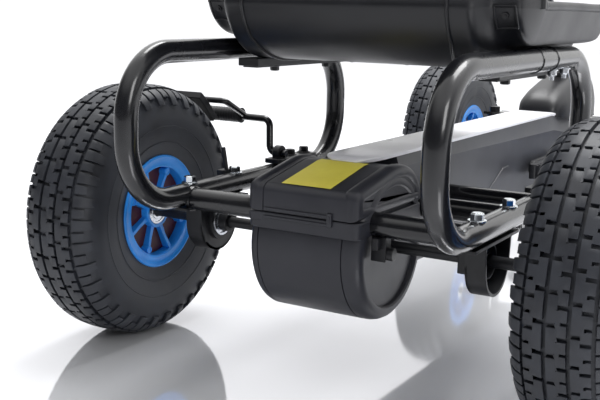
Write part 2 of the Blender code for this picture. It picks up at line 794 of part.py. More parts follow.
def make_seat():
    """A bucket: a strip of cross-sections along the middle line, thickened inwards."""
    for side, sign in SIDES:
        inner = LOOP_X - TUBE_RADIUS - GAP - RAIL_WIDTH
        xs = sorted((sign * inner, sign * (inner + RAIL_WIDTH)))
        back_foot = (xs[0], ahead(RAIL_BACK), RAIL_LOW)
        box(f"seat_rail_{side}", back_foot, (xs[1], ahead(RAIL_FRONT), RAIL_HIGH), BLACK_STEEL)
    base = RAIL_HIGH + GAP
    curve_start = SEAT_BACK_AHEAD + SEAT_BACK_RADIUS
    middle = [(SEAT_LIP_AHEAD, SEAT_LIP_HEIGHT), (SEAT_LIP_AHEAD - 0.026, base + 0.006)]
    middle += [(RAIL_FRONT - 0.010, base), (0.150, base)]
    middle += arc((curve_start, base + SEAT_BACK_RADIUS), SEAT_BACK_RADIUS, 270, 180, 5)
    middle += [
        (SEAT_BACK_AHEAD - SEAT_RECLINE / 3, base + 0.16),
        (SEAT_BACK_AHEAD - SEAT_RECLINE * 2 / 3, base + 0.24),
        (SEAT_BACK_AHEAD - SEAT_RECLINE, SEAT_TOP),
    ]
    half = [
        (SEAT_HALF_WIDTH, SEAT_WING_RISE),
        (SEAT_SIDE_HALF_WIDTH, SEAT_SHOULDER_RISE + 0.002),
        (SEAT_SHOULDER_HALF_WIDTH, SEAT_SHOULDER_RISE),
        (SEAT_TUB_HALF_WIDTH, 0.0),
        (SEAT_TUB_HALF_WIDTH / 2, 0.0),
    ]
    columns = [(-x, rise) for x, rise in half] + [(0.0, 0.0)] + half[::-1]
    work = bmesh.new()
    rows = []
    for i, (distance, height) in enumerate(middle):
        before = Vector(middle[max(i - 1, 0)])
        after = Vector(middle[min(i + 1, len(middle) - 1)])
        along = (after - before).normalized()
        inward = Vector((along.y, -along.x))
        rows.append(
            [
                work.verts.new((x, ahead(distance + inward.x * rise), height + inward.y * rise))
                for x, rise in columns
            ]
        )
    for row, following in zip(rows, rows[1:]):
        for k in range(len(columns) - 1):
            work.faces.new((row[k], row[k + 1], following[k + 1], following[k]))
    bmesh.ops.recalc_face_normals(work, faces=work.faces)
    if sum(face.normal.z * face.calc_area() for face in work.faces) > 0:
        bmesh.ops.reverse_faces(work, faces=work.faces)
    mesh = bpy.data.meshes.new("seat_shell")
    work.to_mesh(mesh)
    work.free()
    seat = add("seat_shell", mesh, CASE_PLASTIC)
    wall = seat.modifiers.new("wall", "SOLIDIFY")
    wall.thickness = SEAT_WALL
    wall.offset = -1
    wall.use_even_offset = True
    smooth(seat)
    carry(body("seat_line", (0, ahead(0.15), base)), seat)


def make_front_axle():
    """A tube across the beam with a fork welded on each end, and a knuckle on its pin in each."""
    y = ahead(WHEELBASE)
    back = KINGPIN_X - 0.020
    z = CROSSBAR_HEIGHT
    axle = cylinder("front_axle", (-back, y, z), (back, y, z), TUBE_RADIUS, BLACK_PAINT, 12)
    depth = FORK_DEPTH / 2
    for side, sign in SIDES:
        centre = Vector((sign * KINGPIN_X, y, 0))
        outer = KINGPIN_X + 0.014
        xs = sorted((sign * (back - 0.002), sign * outer))
        fork = box("fork", (xs[0], y - depth, FORK_LOW), (xs[1], y + depth, FORK_HIGH), BLACK_STEEL)
        mouth_xs = sorted((sign * (back + FORK_THICKNESS - 0.002), sign * (outer + 0.01)))
        mouth = box(
            "fork_mouth",
            (mouth_xs[0], y - depth - 0.01, FORK_LOW + FORK_THICKNESS),
            (mouth_xs[1], y + depth + 0.01, FORK_HIGH - FORK_THICKNESS),
            BLACK_STEEL,
        )
        hole = cylinder(
            "pin_hole",
            centre + Vector((0, 0, FORK_LOW - 0.01)),
            centre + Vector((0, 0, FORK_HIGH + 0.01)),
            KINGPIN_RADIUS + GAP,
            BLACK_STEEL,
            12,
        )
        cut(fork, mouth, hole)
        join(axle, fork)
        make_knuckle(side, sign, centre)


def make_knuckle(side, sign, centre):
    up = Vector((0, 0, 1))
    across = Vector((sign, 0, 0))
    low = FORK_LOW + FORK_THICKNESS + GAP
    high = FORK_HIGH - FORK_THICKNESS - GAP
    ends = centre + up * low, centre + up * high
    knuckle = cylinder(f"knuckle_{side}", *ends, KNUCKLE_RADIUS, BLACK_STEEL, 12)
    pin = cylinder(
        "kingpin",
        centre + up * (FORK_LOW - 0.006),
        centre + up * (FORK_HIGH + 0.004),
        KINGPIN_RADIUS,
        ZINC,
        12,
    )
    head = cylinder(
        "kingpin_head", centre + up * (FORK_HIGH + GAP), centre + up * (FORK_HIGH + 0.008), 0.009, ZINC, 6
    )
    wheel_end = FRONT_HALF_TRACK + RIM_HALF_WIDTH - KINGPIN_X + AXLE_NUT_LENGTH
    stub = cylinder(
        "stub",
        centre + up * TYRE_RADIUS,
        centre + up * TYRE_RADIUS + across * wheel_end,
        AXLE_RADIUS,
        ZINC,
        WHEEL_STEPS,
    )
    nut = cylinder(
        "stub_nut",
        centre + up * TYRE_RADIUS + across * (wheel_end - AXLE_NUT_LENGTH + GAP),
        centre + up * TYRE_RADIUS + across * (wheel_end - 0.0008),
        AXLE_NUT_RADIUS,
        ZINC,
        6,
    )
    tip = centre + Vector((0, STEERING_ARM, 0))
    arm = box(
        "arm",
        (centre.x - 0.006, centre.y + 0.004, ARM_HEIGHT),
        (centre.x + 0.006, tip.y + 0.007, ARM_HEIGHT + ARM_THICKNESS),
        BLACK_STEEL,
    )
    arm_hole = cylinder("arm_hole", tip + up * 0.15, tip + up * 0.19, 0.0033, ZINC, 12)
    cut(arm, arm_hole)
    join(knuckle, pin, head, stub, nut, arm)
    pivot = body(f"knuckle_line_{side}", centre + up * CROSSBAR_HEIGHT)
    carry(pivot, knuckle)
    wheel = body(f"front_wheel_line_{side}", (sign * FRONT_HALF_TRACK, centre.y, TYRE_RADIUS))
    carry(wheel, *make_wheel(f"front_{side}", sign * FRONT_HALF_TRACK, centre.y))
    rod_height = ARM_HEIGHT + ARM_THICKNESS + GAP + TIE_ROD_RADIUS
    rod = cylinder(
        f"tie_rod_{side}",
        (tip.x + sign * 0.005, tip.y, rod_height),
        (sign * TIE_ROD_END_X, tip.y, rod_height),
        TIE_ROD_RADIUS,
        BLACK_STEEL,
        12,
    )
    rod_pin = cylinder("rod_pin", tip + up * (ARM_HEIGHT - 0.003), tip + up * rod_height, 0.003, ZINC, 12)
    join(rod, rod_pin)
    carry(body(f"tie_rod_line_{side}", tip + up * rod_height), rod)


def make_steering():
    """A leaning column in a collar on the beam, with a wheel on top and a bent foot below."""
    foot = Vector((0, ahead(COLUMN_FOOT_AHEAD), COLUMN_FOOT_HEIGHT))
    axis = Vector((0, -math.sin(COLUMN_TILT), math.cos(COLUMN_TILT)))
    rod_height = ARM_HEIGHT + ARM_THICKNESS + GAP + TIE_ROD_RADIUS
    tip = Vector((0, ahead(WHEELBASE + STEERING_ARM), rod_height))
    top = foot + axis * COLUMN_LENGTH
    column = as_mesh(
        tube("steering_column", rounded([top, foot, tip], 0.015, 3), COLUMN_RADIUS, BLACK_PAINT)
    )
    centre = foot + axis * (COLUMN_LENGTH + GAP)
    ring = make_wheel_ring(centre, axis)
    steering = body("steering_line", centre)
    carry(steering, column, ring)
    start = foot + axis * COLLAR_FROM
    end = foot + axis * COLLAR_TO
    outline = [
        (SPINE_FRONT + 0.004, BEAM_HIGH + GAP),
        (COLUMN_FOOT_AHEAD - 0.030, BEAM_HIGH + GAP),
        (start.y - REAR_AXLE_Y - 0.004, start.z - 0.006),
        (end.y - REAR_AXLE_Y - 0.004, end.z - 0.006),
        (end.y - REAR_AXLE_Y - 0.016, end.z - 0.010),
    ]
    tower = side_plate("steering_tower", outline, 0, TOWER_THICKNESS, BLACK_STEEL)
    collar = cylinder("collar", start, end, COLLAR_RADIUS, BLACK_STEEL, 12)
    bore_radius = COLUMN_RADIUS + PIN_PLAY
    bore = cylinder("collar_bore", start - axis * 0.03, end + axis * 0.03, bore_radius, BLACK_STEEL, 16)
    cut(join(tower, collar), bore)


def make_wheel_ring(centre, axis):
    """A round rim on three spokes and a boss, facing along the column."""
    ring_curve = []
    side = Vector((1, 0, 0))
    up = axis.cross(side)
    for k in range(28):
        a = 2 * math.pi * k / 28
        ring_curve.append(centre + axis * 0.022 + (side * math.cos(a) + up * math.sin(a)) * WHEEL_RING_RADIUS)
    rim = as_mesh(tube("steering_wheel", ring_curve, WHEEL_RING_TUBE, RUBBER, closed=True))
    boss = cylinder("boss", centre, centre + axis * 0.024, 0.026, CASE_PLASTIC, 16)
    for k in range(WHEEL_SPOKES):
        a = math.radians(90 + 360 * k / WHEEL_SPOKES)
        out = side * math.cos(a) - up * math.sin(a)
        start = centre + axis * 0.013 + out * 0.015
        end = centre + axis * 0.022 + out * WHEEL_RING_RADIUS
        join(boss, cylinder("spoke", start, end, 0.007, CASE_PLASTIC, 8))
    return join(rim, boss)


def make_bumper():
    y_start = ahead(WHEELBASE + TUBE_RADIUS + GAP)
    reach = LENGTH / 2 - TUBE_RADIUS
    half = [
        (BUMPER_LEG_X, y_start),
        (BUMPER_LEG_X, ahead(BUMPER_SPREAD_FROM)),
        (BUMPER_HALF_WIDTH, ahead(BUMPER_SPREAD_TO)),
        (BUMPER_HALF_WIDTH, reach),
    ]
    points = [(x, y, BUMPER_HEIGHT) for x, y in half]
    points += [(-x, y, z) for x, y, z in reversed(points)]
    tube("front_bumper", rounded(points, BUMPER_BEND, 3), TUBE_RADIUS, BLACK_PAINT)


def make_brake():
    """A bent rod pivots in a lug on the left loop, and swings a pad back onto the tyre."""
    pivot = Vector((-LOOP_X, ahead(BRAKE_PIVOT_AHEAD), BRAKE_PIVOT_HEIGHT))
    rod_y = ahead(BRAKE_PIVOT_AHEAD)
    path = [
        (-LOOP_X + 0.010, rod_y, BRAKE_PIVOT_HEIGHT),
        (-BRAKE_ROD_X, rod_y, BRAKE_PIVOT_HEIGHT),
        (-BRAKE_ROD_X - 0.004, rod_y + 0.006, BRAKE_GRIP_HEIGHT - 0.002),
        (-BRAKE_GRIP_TO + 0.004, rod_y + 0.008, BRAKE_GRIP_HEIGHT),
    ]
    lever = as_mesh(tube("brake_lever", rounded(path, 0.007, 3), BRAKE_ROD_RADIUS, BLACK_PAINT))
    lean = (math.cos(BRAKE_PAD_ANGLE), math.sin(BRAKE_PAD_ANGLE))
    face = TYRE_RADIUS + BRAKE_PAD_GAP
    arm_reach = face + BRAKE_PAD_THICKNESS + GAP + BRAKE_ROD_RADIUS
    arm_y = ahead(arm_reach * lean[0])
    arm_z = TYRE_RADIUS + arm_reach * lean[1]
    arm_path = [
        (-BRAKE_ROD_X - 0.002, rod_y + 0.003, BRAKE_PIVOT_HEIGHT + 0.018),
        (-BRAKE_ROD_X - 0.034, arm_y, arm_z),
        (-REAR_HALF_TRACK - 0.018, arm_y, arm_z),
    ]
    arm = as_mesh(tube("brake_arm", rounded(arm_path, 0.010, 3), BRAKE_ROD_RADIUS, BLACK_PAINT))
    join(lever, arm)
    rod_bend = Vector(path[2])
    rod_line = (Vector(path[3]) - rod_bend).normalized()
    grip_from = rod_bend + rod_line * ((BRAKE_GRIP_FROM + rod_bend.x) / -rod_line.x)
    grip_to = rod_bend + rod_line * ((BRAKE_GRIP_TO + rod_bend.x) / -rod_line.x)
    grip = cylinder("brake_grip", grip_from, grip_to, BRAKE_GRIP_RADIUS, RUBBER, 12)
    bore = cylinder(
        "grip_bore",
        grip_from + (grip_from - grip_to) * 0.2,
        grip_to + (grip_from - grip_to).normalized() * 0.0035,
        BRAKE_ROD_RADIUS + PIN_PLAY,
        RUBBER,
        12,
    )
    cut(grip, bore)
    middle = face + BRAKE_PAD_THICKNESS / 2
    pad_centre = Vector((-REAR_HALF_TRACK, ahead(middle * lean[0]), TYRE_RADIUS + middle * lean[1]))
    half = Vector((0.022, 0.020, BRAKE_PAD_THICKNESS / 2))
    pad = box("brake_pad", -half, half, RUBBER)
    pad.location = pad_centre
    pad.rotation_euler = (BRAKE_PAD_ANGLE - math.pi / 2, 0, 0)
    carry(body("brake_line", pivot), lever, grip, pad)


def make_clamps_and_bolts():
    """A plate over each lower tube joint, and the bolts that hold it and the axle hangers."""
    top = LOOP_LOW + TUBE_RADIUS + GAP
    for side, sign in SIDES:
        x = sign * LOOP_X
        clamp = box(
            f"loop_clamp_{side}",
            (x - TUBE_RADIUS, ahead(CLAMP_BACK), top),
            (x + TUBE_RADIUS, ahead(CLAMP_FRONT), top + CLAMP_THICKNESS),
            BLACK_STEEL,
        )
        if side == "left":
            lug_outline = [(BRAKE_PIVOT_AHEAD - 0.009, top + 0.002), (BRAKE_PIVOT_AHEAD + 0.009, top + 0.002)]
            lug_outline += arc((BRAKE_PIVOT_AHEAD, BRAKE_PIVOT_HEIGHT), 0.009, 0, 180, 6)
            lug = side_plate("brake_lug", lug_outline, x, 0.008, BLACK_STEEL)
            join(clamp, lug)
            cut(clamp, bar_hole(BRAKE_PIVOT_AHEAD, BRAKE_PIVOT_HEIGHT, 0.2, BRAKE_ROD_RADIUS))
        for number, distance in enumerate((0.154, 0.184), 1):
            place = Vector((x, ahead(distance), top + CLAMP_THICKNESS + GAP))
            hexagon_bolt(f"clamp_bolt_{side}_{number}", place, BLACK_STEEL)
        for number, distance in enumerate((-0.036, 0.042), 1):
            hexagon_bolt(f"hanger_bolt_{side}_{number}", Vector((x, ahead(distance), top)), ZINC)


def main():
    make_rear_axle()
    make_axle_supports()
    make_chain()
    make_loops()
    crossbar("rear_crossbar", -REAR_BAR_BACK, REAR_BAR_HEIGHT)
    crossbar("middle_crossbar", MIDDLE_BAR_AHEAD, CROSSBAR_HEIGHT)
    crossbar("front_crossbar", FRONT_BAR_AHEAD, CROSSBAR_HEIGHT)
    make_main_beam()
    make_gear_case()
    make_spine()
    make_cranks()
    make_seat()
    make_front_axle()
    make_steering()
    make_bumper()
    make_brake()
    make_clamps_and_bolts()


main()
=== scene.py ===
"""A pedal go-kart: low tubular frame, bucket seat, chain case along the middle and four air-filled tyres."""

import math
import random

import bmesh
import bpy
from mathutils import Matrix, Vector


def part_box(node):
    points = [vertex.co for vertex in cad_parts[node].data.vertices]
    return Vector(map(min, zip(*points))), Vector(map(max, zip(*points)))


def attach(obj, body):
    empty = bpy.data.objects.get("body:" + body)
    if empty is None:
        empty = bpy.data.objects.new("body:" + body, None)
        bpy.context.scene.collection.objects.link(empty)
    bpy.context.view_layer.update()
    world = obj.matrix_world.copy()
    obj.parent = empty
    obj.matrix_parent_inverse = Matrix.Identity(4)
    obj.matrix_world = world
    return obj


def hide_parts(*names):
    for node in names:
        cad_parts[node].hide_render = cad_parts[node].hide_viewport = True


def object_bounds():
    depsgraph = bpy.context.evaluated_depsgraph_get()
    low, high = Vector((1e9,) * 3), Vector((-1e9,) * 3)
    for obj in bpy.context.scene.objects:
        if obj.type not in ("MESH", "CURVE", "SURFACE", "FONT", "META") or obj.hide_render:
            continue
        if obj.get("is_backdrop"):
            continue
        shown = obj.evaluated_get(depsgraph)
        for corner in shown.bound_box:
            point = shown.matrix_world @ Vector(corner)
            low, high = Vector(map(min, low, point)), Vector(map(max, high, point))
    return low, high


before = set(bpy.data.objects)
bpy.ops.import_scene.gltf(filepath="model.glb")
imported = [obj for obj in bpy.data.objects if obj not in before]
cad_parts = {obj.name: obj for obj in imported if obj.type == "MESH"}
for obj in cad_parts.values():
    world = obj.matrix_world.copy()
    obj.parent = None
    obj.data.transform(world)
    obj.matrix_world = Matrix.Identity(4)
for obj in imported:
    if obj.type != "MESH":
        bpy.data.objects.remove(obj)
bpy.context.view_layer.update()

REAR_AXLE_Y = -0.4635
TYRE_RADIUS = 0.132
REAR_HALF_TRACK = 0.2487
FRONT_HALF_TRACK = 0.208
WHEELBASE = 0.784
TUBE_RADIUS = 0.011
LOOP_X = 0.1495


def at(x, ahead, z):
    """A point from its distance ahead of the rear axle."""
    return Vector((x, REAR_AXLE_Y + ahead, z))


# Materials


def linear(hex_colour):
    """An sRGB hex colour as linear RGBA."""
    channels = [int(hex_colour[i : i + 2], 16) / 255 for i in (1, 3, 5)]
    return [c / 12.92 if c <= 0.04045 else ((c + 0.055) / 1.055) ** 2.4 for c in channels] + [1.0]


def add(tree, kind, settings=None, **inputs):
    """Adds a node. Sockets are named with _ for a space, and take a value or another node's output."""
    made = tree.nodes.new("ShaderNode" + kind)
    for name, value in (settings or {}).items():
        setattr(made, name, value)
    for name, value in inputs.items():
        socket = made.inputs[name.replace("_", " ")]
        if isinstance(value, bpy.types.NodeSocket):
            tree.links.new(value, socket)
        else:
            socket.default_value = value
    return made


def material(name, dark, light, rough, grain_mm, depth_mm, patch_mm=30.0, metal=0.0, coat=0.0, spread=0.05):
    """A solid finish: tone and roughness drift over patches, and a fine grain lifts the surface."""
    made = bpy.data.materials.new(name)
    made.use_nodes = True
    tree = made.node_tree
    shader = tree.nodes["Principled BSDF"]
    place = add(tree, "TexCoord").outputs["Object"]
    patch = add(tree, "TexNoise", Vector=place, Scale=1000 / patch_mm, Detail=3.0)
    grain = add(tree, "TexNoise", Vector=place, Scale=1000 / grain_mm, Detail=2.0)
    tone = add(tree, "MapRange", Value=patch.outputs["Fac"], From_Min=0.3, From_Max=0.7)
    colour = add(tree, "MixRGB", Fac=tone.outputs["Result"], Color1=linear(dark), Color2=linear(light))
    gloss = add(
        tree,
        "MapRange",
        Value=patch.outputs["Fac"],
        From_Min=0.3,
        From_Max=0.7,
        To_Min=rough - spread,
        To_Max=rough + spread,
    )
    relief = add(tree, "Bump", Height=grain.outputs["Fac"], Strength=1.0, Distance=depth_mm / 1000)
    tree.links.new(colour.outputs["Color"], shader.inputs["Base Color"])
    tree.links.new(gloss.outputs["Result"], shader.inputs["Roughness"])
    tree.links.new(relief.outputs["Normal"], shader.inputs["Normal"])
    shader.inputs["Metallic"].default_value = metal
    shader.inputs["Coat Weight"].default_value = coat
    shader.inputs["Coat Roughness"].default_value = 0.08
    return made


PAINT = material("black_gloss_paint_on_steel_tube", "#0d0e12", "#14151a", 0.26, 2.5, 0.006, 60, coat=0.5)
DARK_STEEL = material("black_oxide_steel", "#111216", "#1b1c20", 0.42, 0.8, 0.02)
ZINC = material("bright_zinc_plated_steel", "#b4b8bf", "#d6d9de", 0.24, 1.2, 0.01, 12, metal=1.0)
CHROME = material("polished_chromed_steel", "#c4cacf", "#e4e8ec", 0.12, 2.0, 0.004, 8, metal=1.0, spread=0.03)
HOUSING = material("dark_grey_abs_housing", "#25262d", "#2c2d34", 0.46, 0.7, 0.012, 40)
SPINE = material("grey_abs_spine_cover", "#303137", "#383a40", 0.44, 0.8, 0.015, 45)
WHITE = material("white_abs_top_cover", "#e2e2e8", "#ececf1", 0.32, 0.9, 0.008, 70)
SEAT = material("black_satin_pe_seat_shell", "#101115", "#17181d", 0.40, 0.6, 0.02, 50)
BLUE = material("blue_pp_wheel_rim", "#1f84e0", "#2b95f0", 0.34, 0.9, 0.01, 25)
# Painted shade: the web is the same plastic as the blue rim, but it is coloured dark maroon to stand for the shade in
# the wheel's deep recess.
WEB_RECESS_SHADE = material("wheel_web_painted_recess_shade", "#3a1018", "#541a25", 0.5, 0.9, 0.015, 18)
RUBBER = material("black_tyre_rubber", "#23252b", "#30333a", 0.52, 0.9, 0.05, 22, spread=0.08)
GRIP_RUBBER = material("black_moulded_rubber", "#131418", "#1c1d21", 0.62, 0.6, 0.04, 15)
PEDAL = material("black_nylon_pedal", "#121317", "#1c1d22", 0.48, 0.7, 0.02, 20)
YELLOW = material("bare_yellow_vinyl_patch", "#e8da4c", "#f2e65e", 0.42, 1.5, 0.004, 25)

SLOTS = {
    "tube_paint": PAINT,
    "black_steel": DARK_STEEL,
    "zinc_steel": ZINC,
    "case_plastic": HOUSING,
    "spine_plastic": SPINE,
    "cover_plastic": WHITE,
    "wheel_plastic": BLUE,
    "seat_plastic": SEAT,
    "pedal_plastic": PEDAL,
    "tyre_rubber": RUBBER,
    "moulded_rubber": GRIP_RUBBER,
}


# Shapes


def piece(name, bm, finish, body, stands_for=(), sharp=35, bevel=0.0):
    """A finished mesh that rides on one body, in place of some of the frame's own pieces."""
    bmesh.ops.remove_doubles(bm, verts=bm.verts, dist=1e-6)
    bmesh.ops.recalc_face_normals(bm, faces=bm.faces)
    mesh = bpy.data.meshes.new(name)
    bm.to_mesh(mesh)
    bm.free()
    mesh.materials.append(finish)
    mesh.shade_smooth()
    mesh.set_sharp_from_angle(angle=math.radians(sharp))
    obj = bpy.data.objects.new(name, mesh)
    bpy.context.collection.objects.link(obj)
    if bevel:
        step = obj.modifiers.new("edges", "BEVEL")
        step.width = bevel
        step.segments = 2
        step.limit_method = "ANGLE"
        step.angle_limit = math.radians(40)
        step.harden_normals = True
    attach(obj, body)
    if stands_for:
        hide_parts(*stands_for)
    return obj


def ring_of(bm, points):
    return [bm.verts.new(p) for p in points]


def bridge(bm, first, second, closed=True):
    """Faces between two rows of as many points."""
    count = len(first)
    for i in range(count if closed else count - 1):
        j = (i + 1) % count
        bm.faces.new((first[i], first[j], second[j], second[i]))


def loft(bm, rows, closed_rows=True, capped=True, looped=False):
    """A skin over rows of points, capped at its ends or closed into a loop."""
    rings = [ring_of(bm, row) for row in rows]
    for first, second in zip(rings, rings[1:]):
        bridge(bm, first, second, closed_rows)
    if looped:
        bridge(bm, rings[-1], rings[0], closed_rows)
    elif capped:
        bm.faces.new(rings[0][::-1])
        bm.faces.new(rings[-1])
    return bm


def turned(bm, profile, steps, centre=(0, 0, 0), closed=True, phase=0.0):
    """A ring turned about the X axis from a profile of (radius, x)."""
    rows = []
    for k in range(steps):
        angle = phase + math.tau * k / steps
        c, s = math.cos(angle), math.sin(angle)
        rows.append([Vector(centre) + Vector((x, r * c, r * s)) for r, x in profile])
    return loft(bm, rows, closed_rows=closed, looped=True)


def along(start, end):
    """The turn that takes +Z to the way from start to end."""
    return (Vector(end) - Vector(start)).to_track_quat("Z", "Y").to_matrix().to_4x4()


def rod(bm, start, end, radius, steps=24, end_radius=None):
    start, end = Vector(start), Vector(end)
    length = (end - start).length
    bmesh.ops.create_cone(
        bm,
        cap_ends=True,
        segments=steps,
        radius1=radius,
        radius2=radius if end_radius is None else end_radius,
        depth=length,
        matrix=Matrix.Translation((start + end) / 2) @ along(start, end),
    )
    return bm


def block(bm, low, high):
    low, high = Vector(low), Vector(high)
    size = Matrix.Diagonal((*(high - low), 1))
    bmesh.ops.create_cube(bm, size=1, matrix=Matrix.Translation((low + high) / 2) @ size)
    return bm


def bend(points, radius, steps=10):
    """The path through these points with its corners rounded."""
    points = [Vector(p) for p in points]
    path = [points[0]]
    for before, corner, after in zip(points, points[1:], points[2:]):
        back, onward = (before - corner).normalized(), (after - corner).normalized()
        half = back.angle(onward) / 2
        centre = corner + (back + onward).normalized() * radius / math.sin(half)
        first = corner + back * radius / math.tan(half) - centre
        last = corner + onward * radius / math.tan(half) - centre
        path += [centre + first.slerp(last, k / steps).normalized() * radius for k in range(steps + 1)]
    return path + [points[-1]]


def pipe(bm, path, radius, steps=20, looped=False):
    """A round bar along a path, without twist. The radius may be one value or one for each point."""
    path = [Vector(p) for p in path]
    count = len(path)
    radii = radius if isinstance(radius, list) else [radius] * count
    rows = []
    side = None
    for i, point in enumerate(path):
        before = path[i - 1] if i or looped else point
        after = path[(i + 1) % count] if i < count - 1 or looped else point
        way = (after - before).normalized()
        if side is None:
            side = way.orthogonal().normalized()
        side = (side - way * side.dot(way)).normalized()
        other = way.cross(side)
        turns = [math.tau * k / steps for k in range(steps)]
        rows.append([point + (side * math.cos(a) + other * math.sin(a)) * radii[i] for a in turns])
    return loft(bm, rows, looped=looped)


def bead(bm, centre, axis, radius, thick, steps=28):
    """A weld bead or a rubber ring round a bar."""
    side = Vector(axis).orthogonal().normalized()
    other = Vector(axis).normalized().cross(side)
    turns = [math.tau * k / steps for k in range(steps)]
    path = [Vector(centre) + (side * math.cos(a) + other * math.sin(a)) * radius for a in turns]
    return pipe(bm, path, thick, 8, looped=True)


def hex_bolt(bm, foot, way, flats=0.010, height=0.006, washer=0.0075):
    """A hexagon head with a chamfered top, on a washer."""
    foot, way = Vector(foot), Vector(way).normalized()
    rod(bm, foot, foot + way * 0.0014, washer, 24)
    radius = flats / math.sqrt(3)
    head = foot + way * 0.0014
    rod(bm, head, head + way * height * 0.8, radius, 6)
    rod(bm, head + way * height * 0.8, head + way * height, radius, 6, radius * 0.82)
    return bm


# Wheels


def smooth_line(points, steps):
    """Points along a curve through all of these points."""
    line = []
    for i in range(len(points) - 1):
        p = [Vector(points[min(max(i + k, 0), len(points) - 1)]) for k in (-1, 0, 1, 2)]
        for k in range(steps):
            t = k / steps
            line.append(
                0.5
                * (
                    2 * p[1]
                    + (p[2] - p[0]) * t
                    + (2 * p[0] - 5 * p[1] + 4 * p[2] - p[3]) * t**2
                    + (3 * p[1] - p[0] - 3 * p[2] + p[3]) * t**3
                )
            )
    return line + [Vector(points[-1])]


# Half of the carcass from the crown to the bead, as (distance from the middle, radius).
CARCASS = [
    (0.0, 0.1284),
    (0.012, 0.1281),
    (0.022, 0.1267),
    (0.031, 0.1232),
    (0.0372, 0.1160),
    (0.0400, 0.1075),
    (0.0414, 0.0970),
    (0.0404, 0.0840),
    (0.0382, 0.0735),
    (0.0358, 0.0655),
    (0.0346, 0.0612),
]
CROWN_LINE = smooth_line(CARCASS, 8)
CROWN_WAY = [0.0]
for one, two in zip(CROWN_LINE, CROWN_LINE[1:]):
    CROWN_WAY.append(CROWN_WAY[-1] + (two - one).length)


def on_carcass(turn, across, height):
    """A point of the wheel, from its angle, its distance over the crown from the middle, and its height."""
    way = abs(across)
    i = 0
    while i < len(CROWN_WAY) - 2 and CROWN_WAY[i + 1] < way:
        i += 1
    share = (way - CROWN_WAY[i]) / (CROWN_WAY[i + 1] - CROWN_WAY[i])
    spot = CROWN_LINE[i].lerp(CROWN_LINE[i + 1], share)
    course = (CROWN_LINE[i + 1] - CROWN_LINE[i]).normalized()
    x, radius = spot.x - course.y * height, spot.y + course.x * height
    return Vector((math.copysign(x, across) if across else x, radius * math.cos(turn), radius * math.sin(turn)))


PITCHES = 34
PITCH = math.tau * TYRE_RADIUS / PITCHES


def stepped(start, low, step, high, shift, notch):
    """A block in two halves, one moved on by shift, with a slot in one end. Lengths are shares of the pitch."""
    width = 0.86
    outline = [(start, low), (start + width, low), (start + width, step), (start + width + shift, step)]
    outline += [(start + width + shift, high)]
    slot = start + shift + width / 2
    outline += [(slot + 0.05, high), (slot + 0.05, high + notch), (slot - 0.05, high + notch), (slot - 0.05, high)]
    return outline + [(start + shift, high), (start + shift, step), (start, step)]


# The blocks of one pitch, as outlines of (share of the pitch, distance across in mm), and how high each stands.
TREAD_BLOCKS = [
    (stepped(0.05, -7.3, 0.0, 7.3, 0.42, -4.6), 3.9),
    (stepped(0.30, 10.5, 17.0, 24.4, 0.24, -5.0), 4.0),
    (stepped(0.00, -10.5, -17.0, -24.4, 0.24, 5.0), 4.0),
    (((0.08, -46.0), (0.48, -46.0), (0.54, -27.4), (0.08, -27.4)), 3.0),
    (((0.62, -38.0), (0.96, -38.0), (1.00, -27.4), (0.62, -27.4)), 3.0),
    (((0.28, 27.4), (0.74, 27.4), (0.68, 46.0), (0.28, 46.0)), 3.0),
    (((0.82, 27.4), (1.20, 27.4), (1.16, 38.0), (0.82, 38.0)), 3.0),
]
EDGE = 0.0005


def tread_block(bm, outline, height):
    """One rubber block: its outline is laid over the carcass, and its top edge is broken."""
    flat = bmesh.new()
    ring_of_points = [Vector((u * PITCH, v / 1000, 0)) for u, v in outline]
    flat.faces.new([flat.verts.new(p) for p in ring_of_points])
    low = min(p.y for p in ring_of_points)
    high = max(p.y for p in ring_of_points)
    cuts = int((high - low) / 0.0035)
    for k in range(1, cuts + 1):
        line = low + (high - low) * k / (cuts + 1)
        bmesh.ops.bisect_plane(flat, geom=flat.verts[:] + flat.edges[:] + flat.faces[:], plane_co=(0, line, 0), plane_no=(0, 1, 0))
    for share in (0.33, 0.67):
        left = min(p.x for p in ring_of_points)
        right = max(p.x for p in ring_of_points)
        spot = left + (right - left) * share
        bmesh.ops.bisect_plane(flat, geom=flat.verts[:] + flat.edges[:] + flat.faces[:], plane_co=(spot, 0, 0), plane_no=(1, 0, 0))
    top = flat.faces[:]
    made = bmesh.ops.extrude_face_region(flat, geom=top)
    raised = [v for v in made["geom"] if isinstance(v, bmesh.types.BMVert)]
    for vert in raised:
        vert.co.z = height / 1000
    top = [f for f in made["geom"] if isinstance(f, bmesh.types.BMFace)]
    flat.normal_update()
    bmesh.ops.inset_region(flat, faces=top, thickness=EDGE, depth=0.0, use_even_offset=True)
    for face in top:
        for vert in face.verts:
            vert.co.z = height / 1000
    rim = {v for f in top for v in f.verts}
    for vert in raised:
        if vert.is_valid and vert not in rim:
            vert.co.z = height / 1000 - EDGE * 0.8
    for vert in flat.verts:
        vert.co = on_carcass(vert.co.x / TYRE_RADIUS, vert.co.y, vert.co.z if vert.co.z > 1e-6 else -0.0012)
    mesh = bpy.data.meshes.new("block")
    flat.to_mesh(mesh)
    flat.free()
    bm.from_mesh(mesh)
    bpy.data.meshes.remove(mesh)


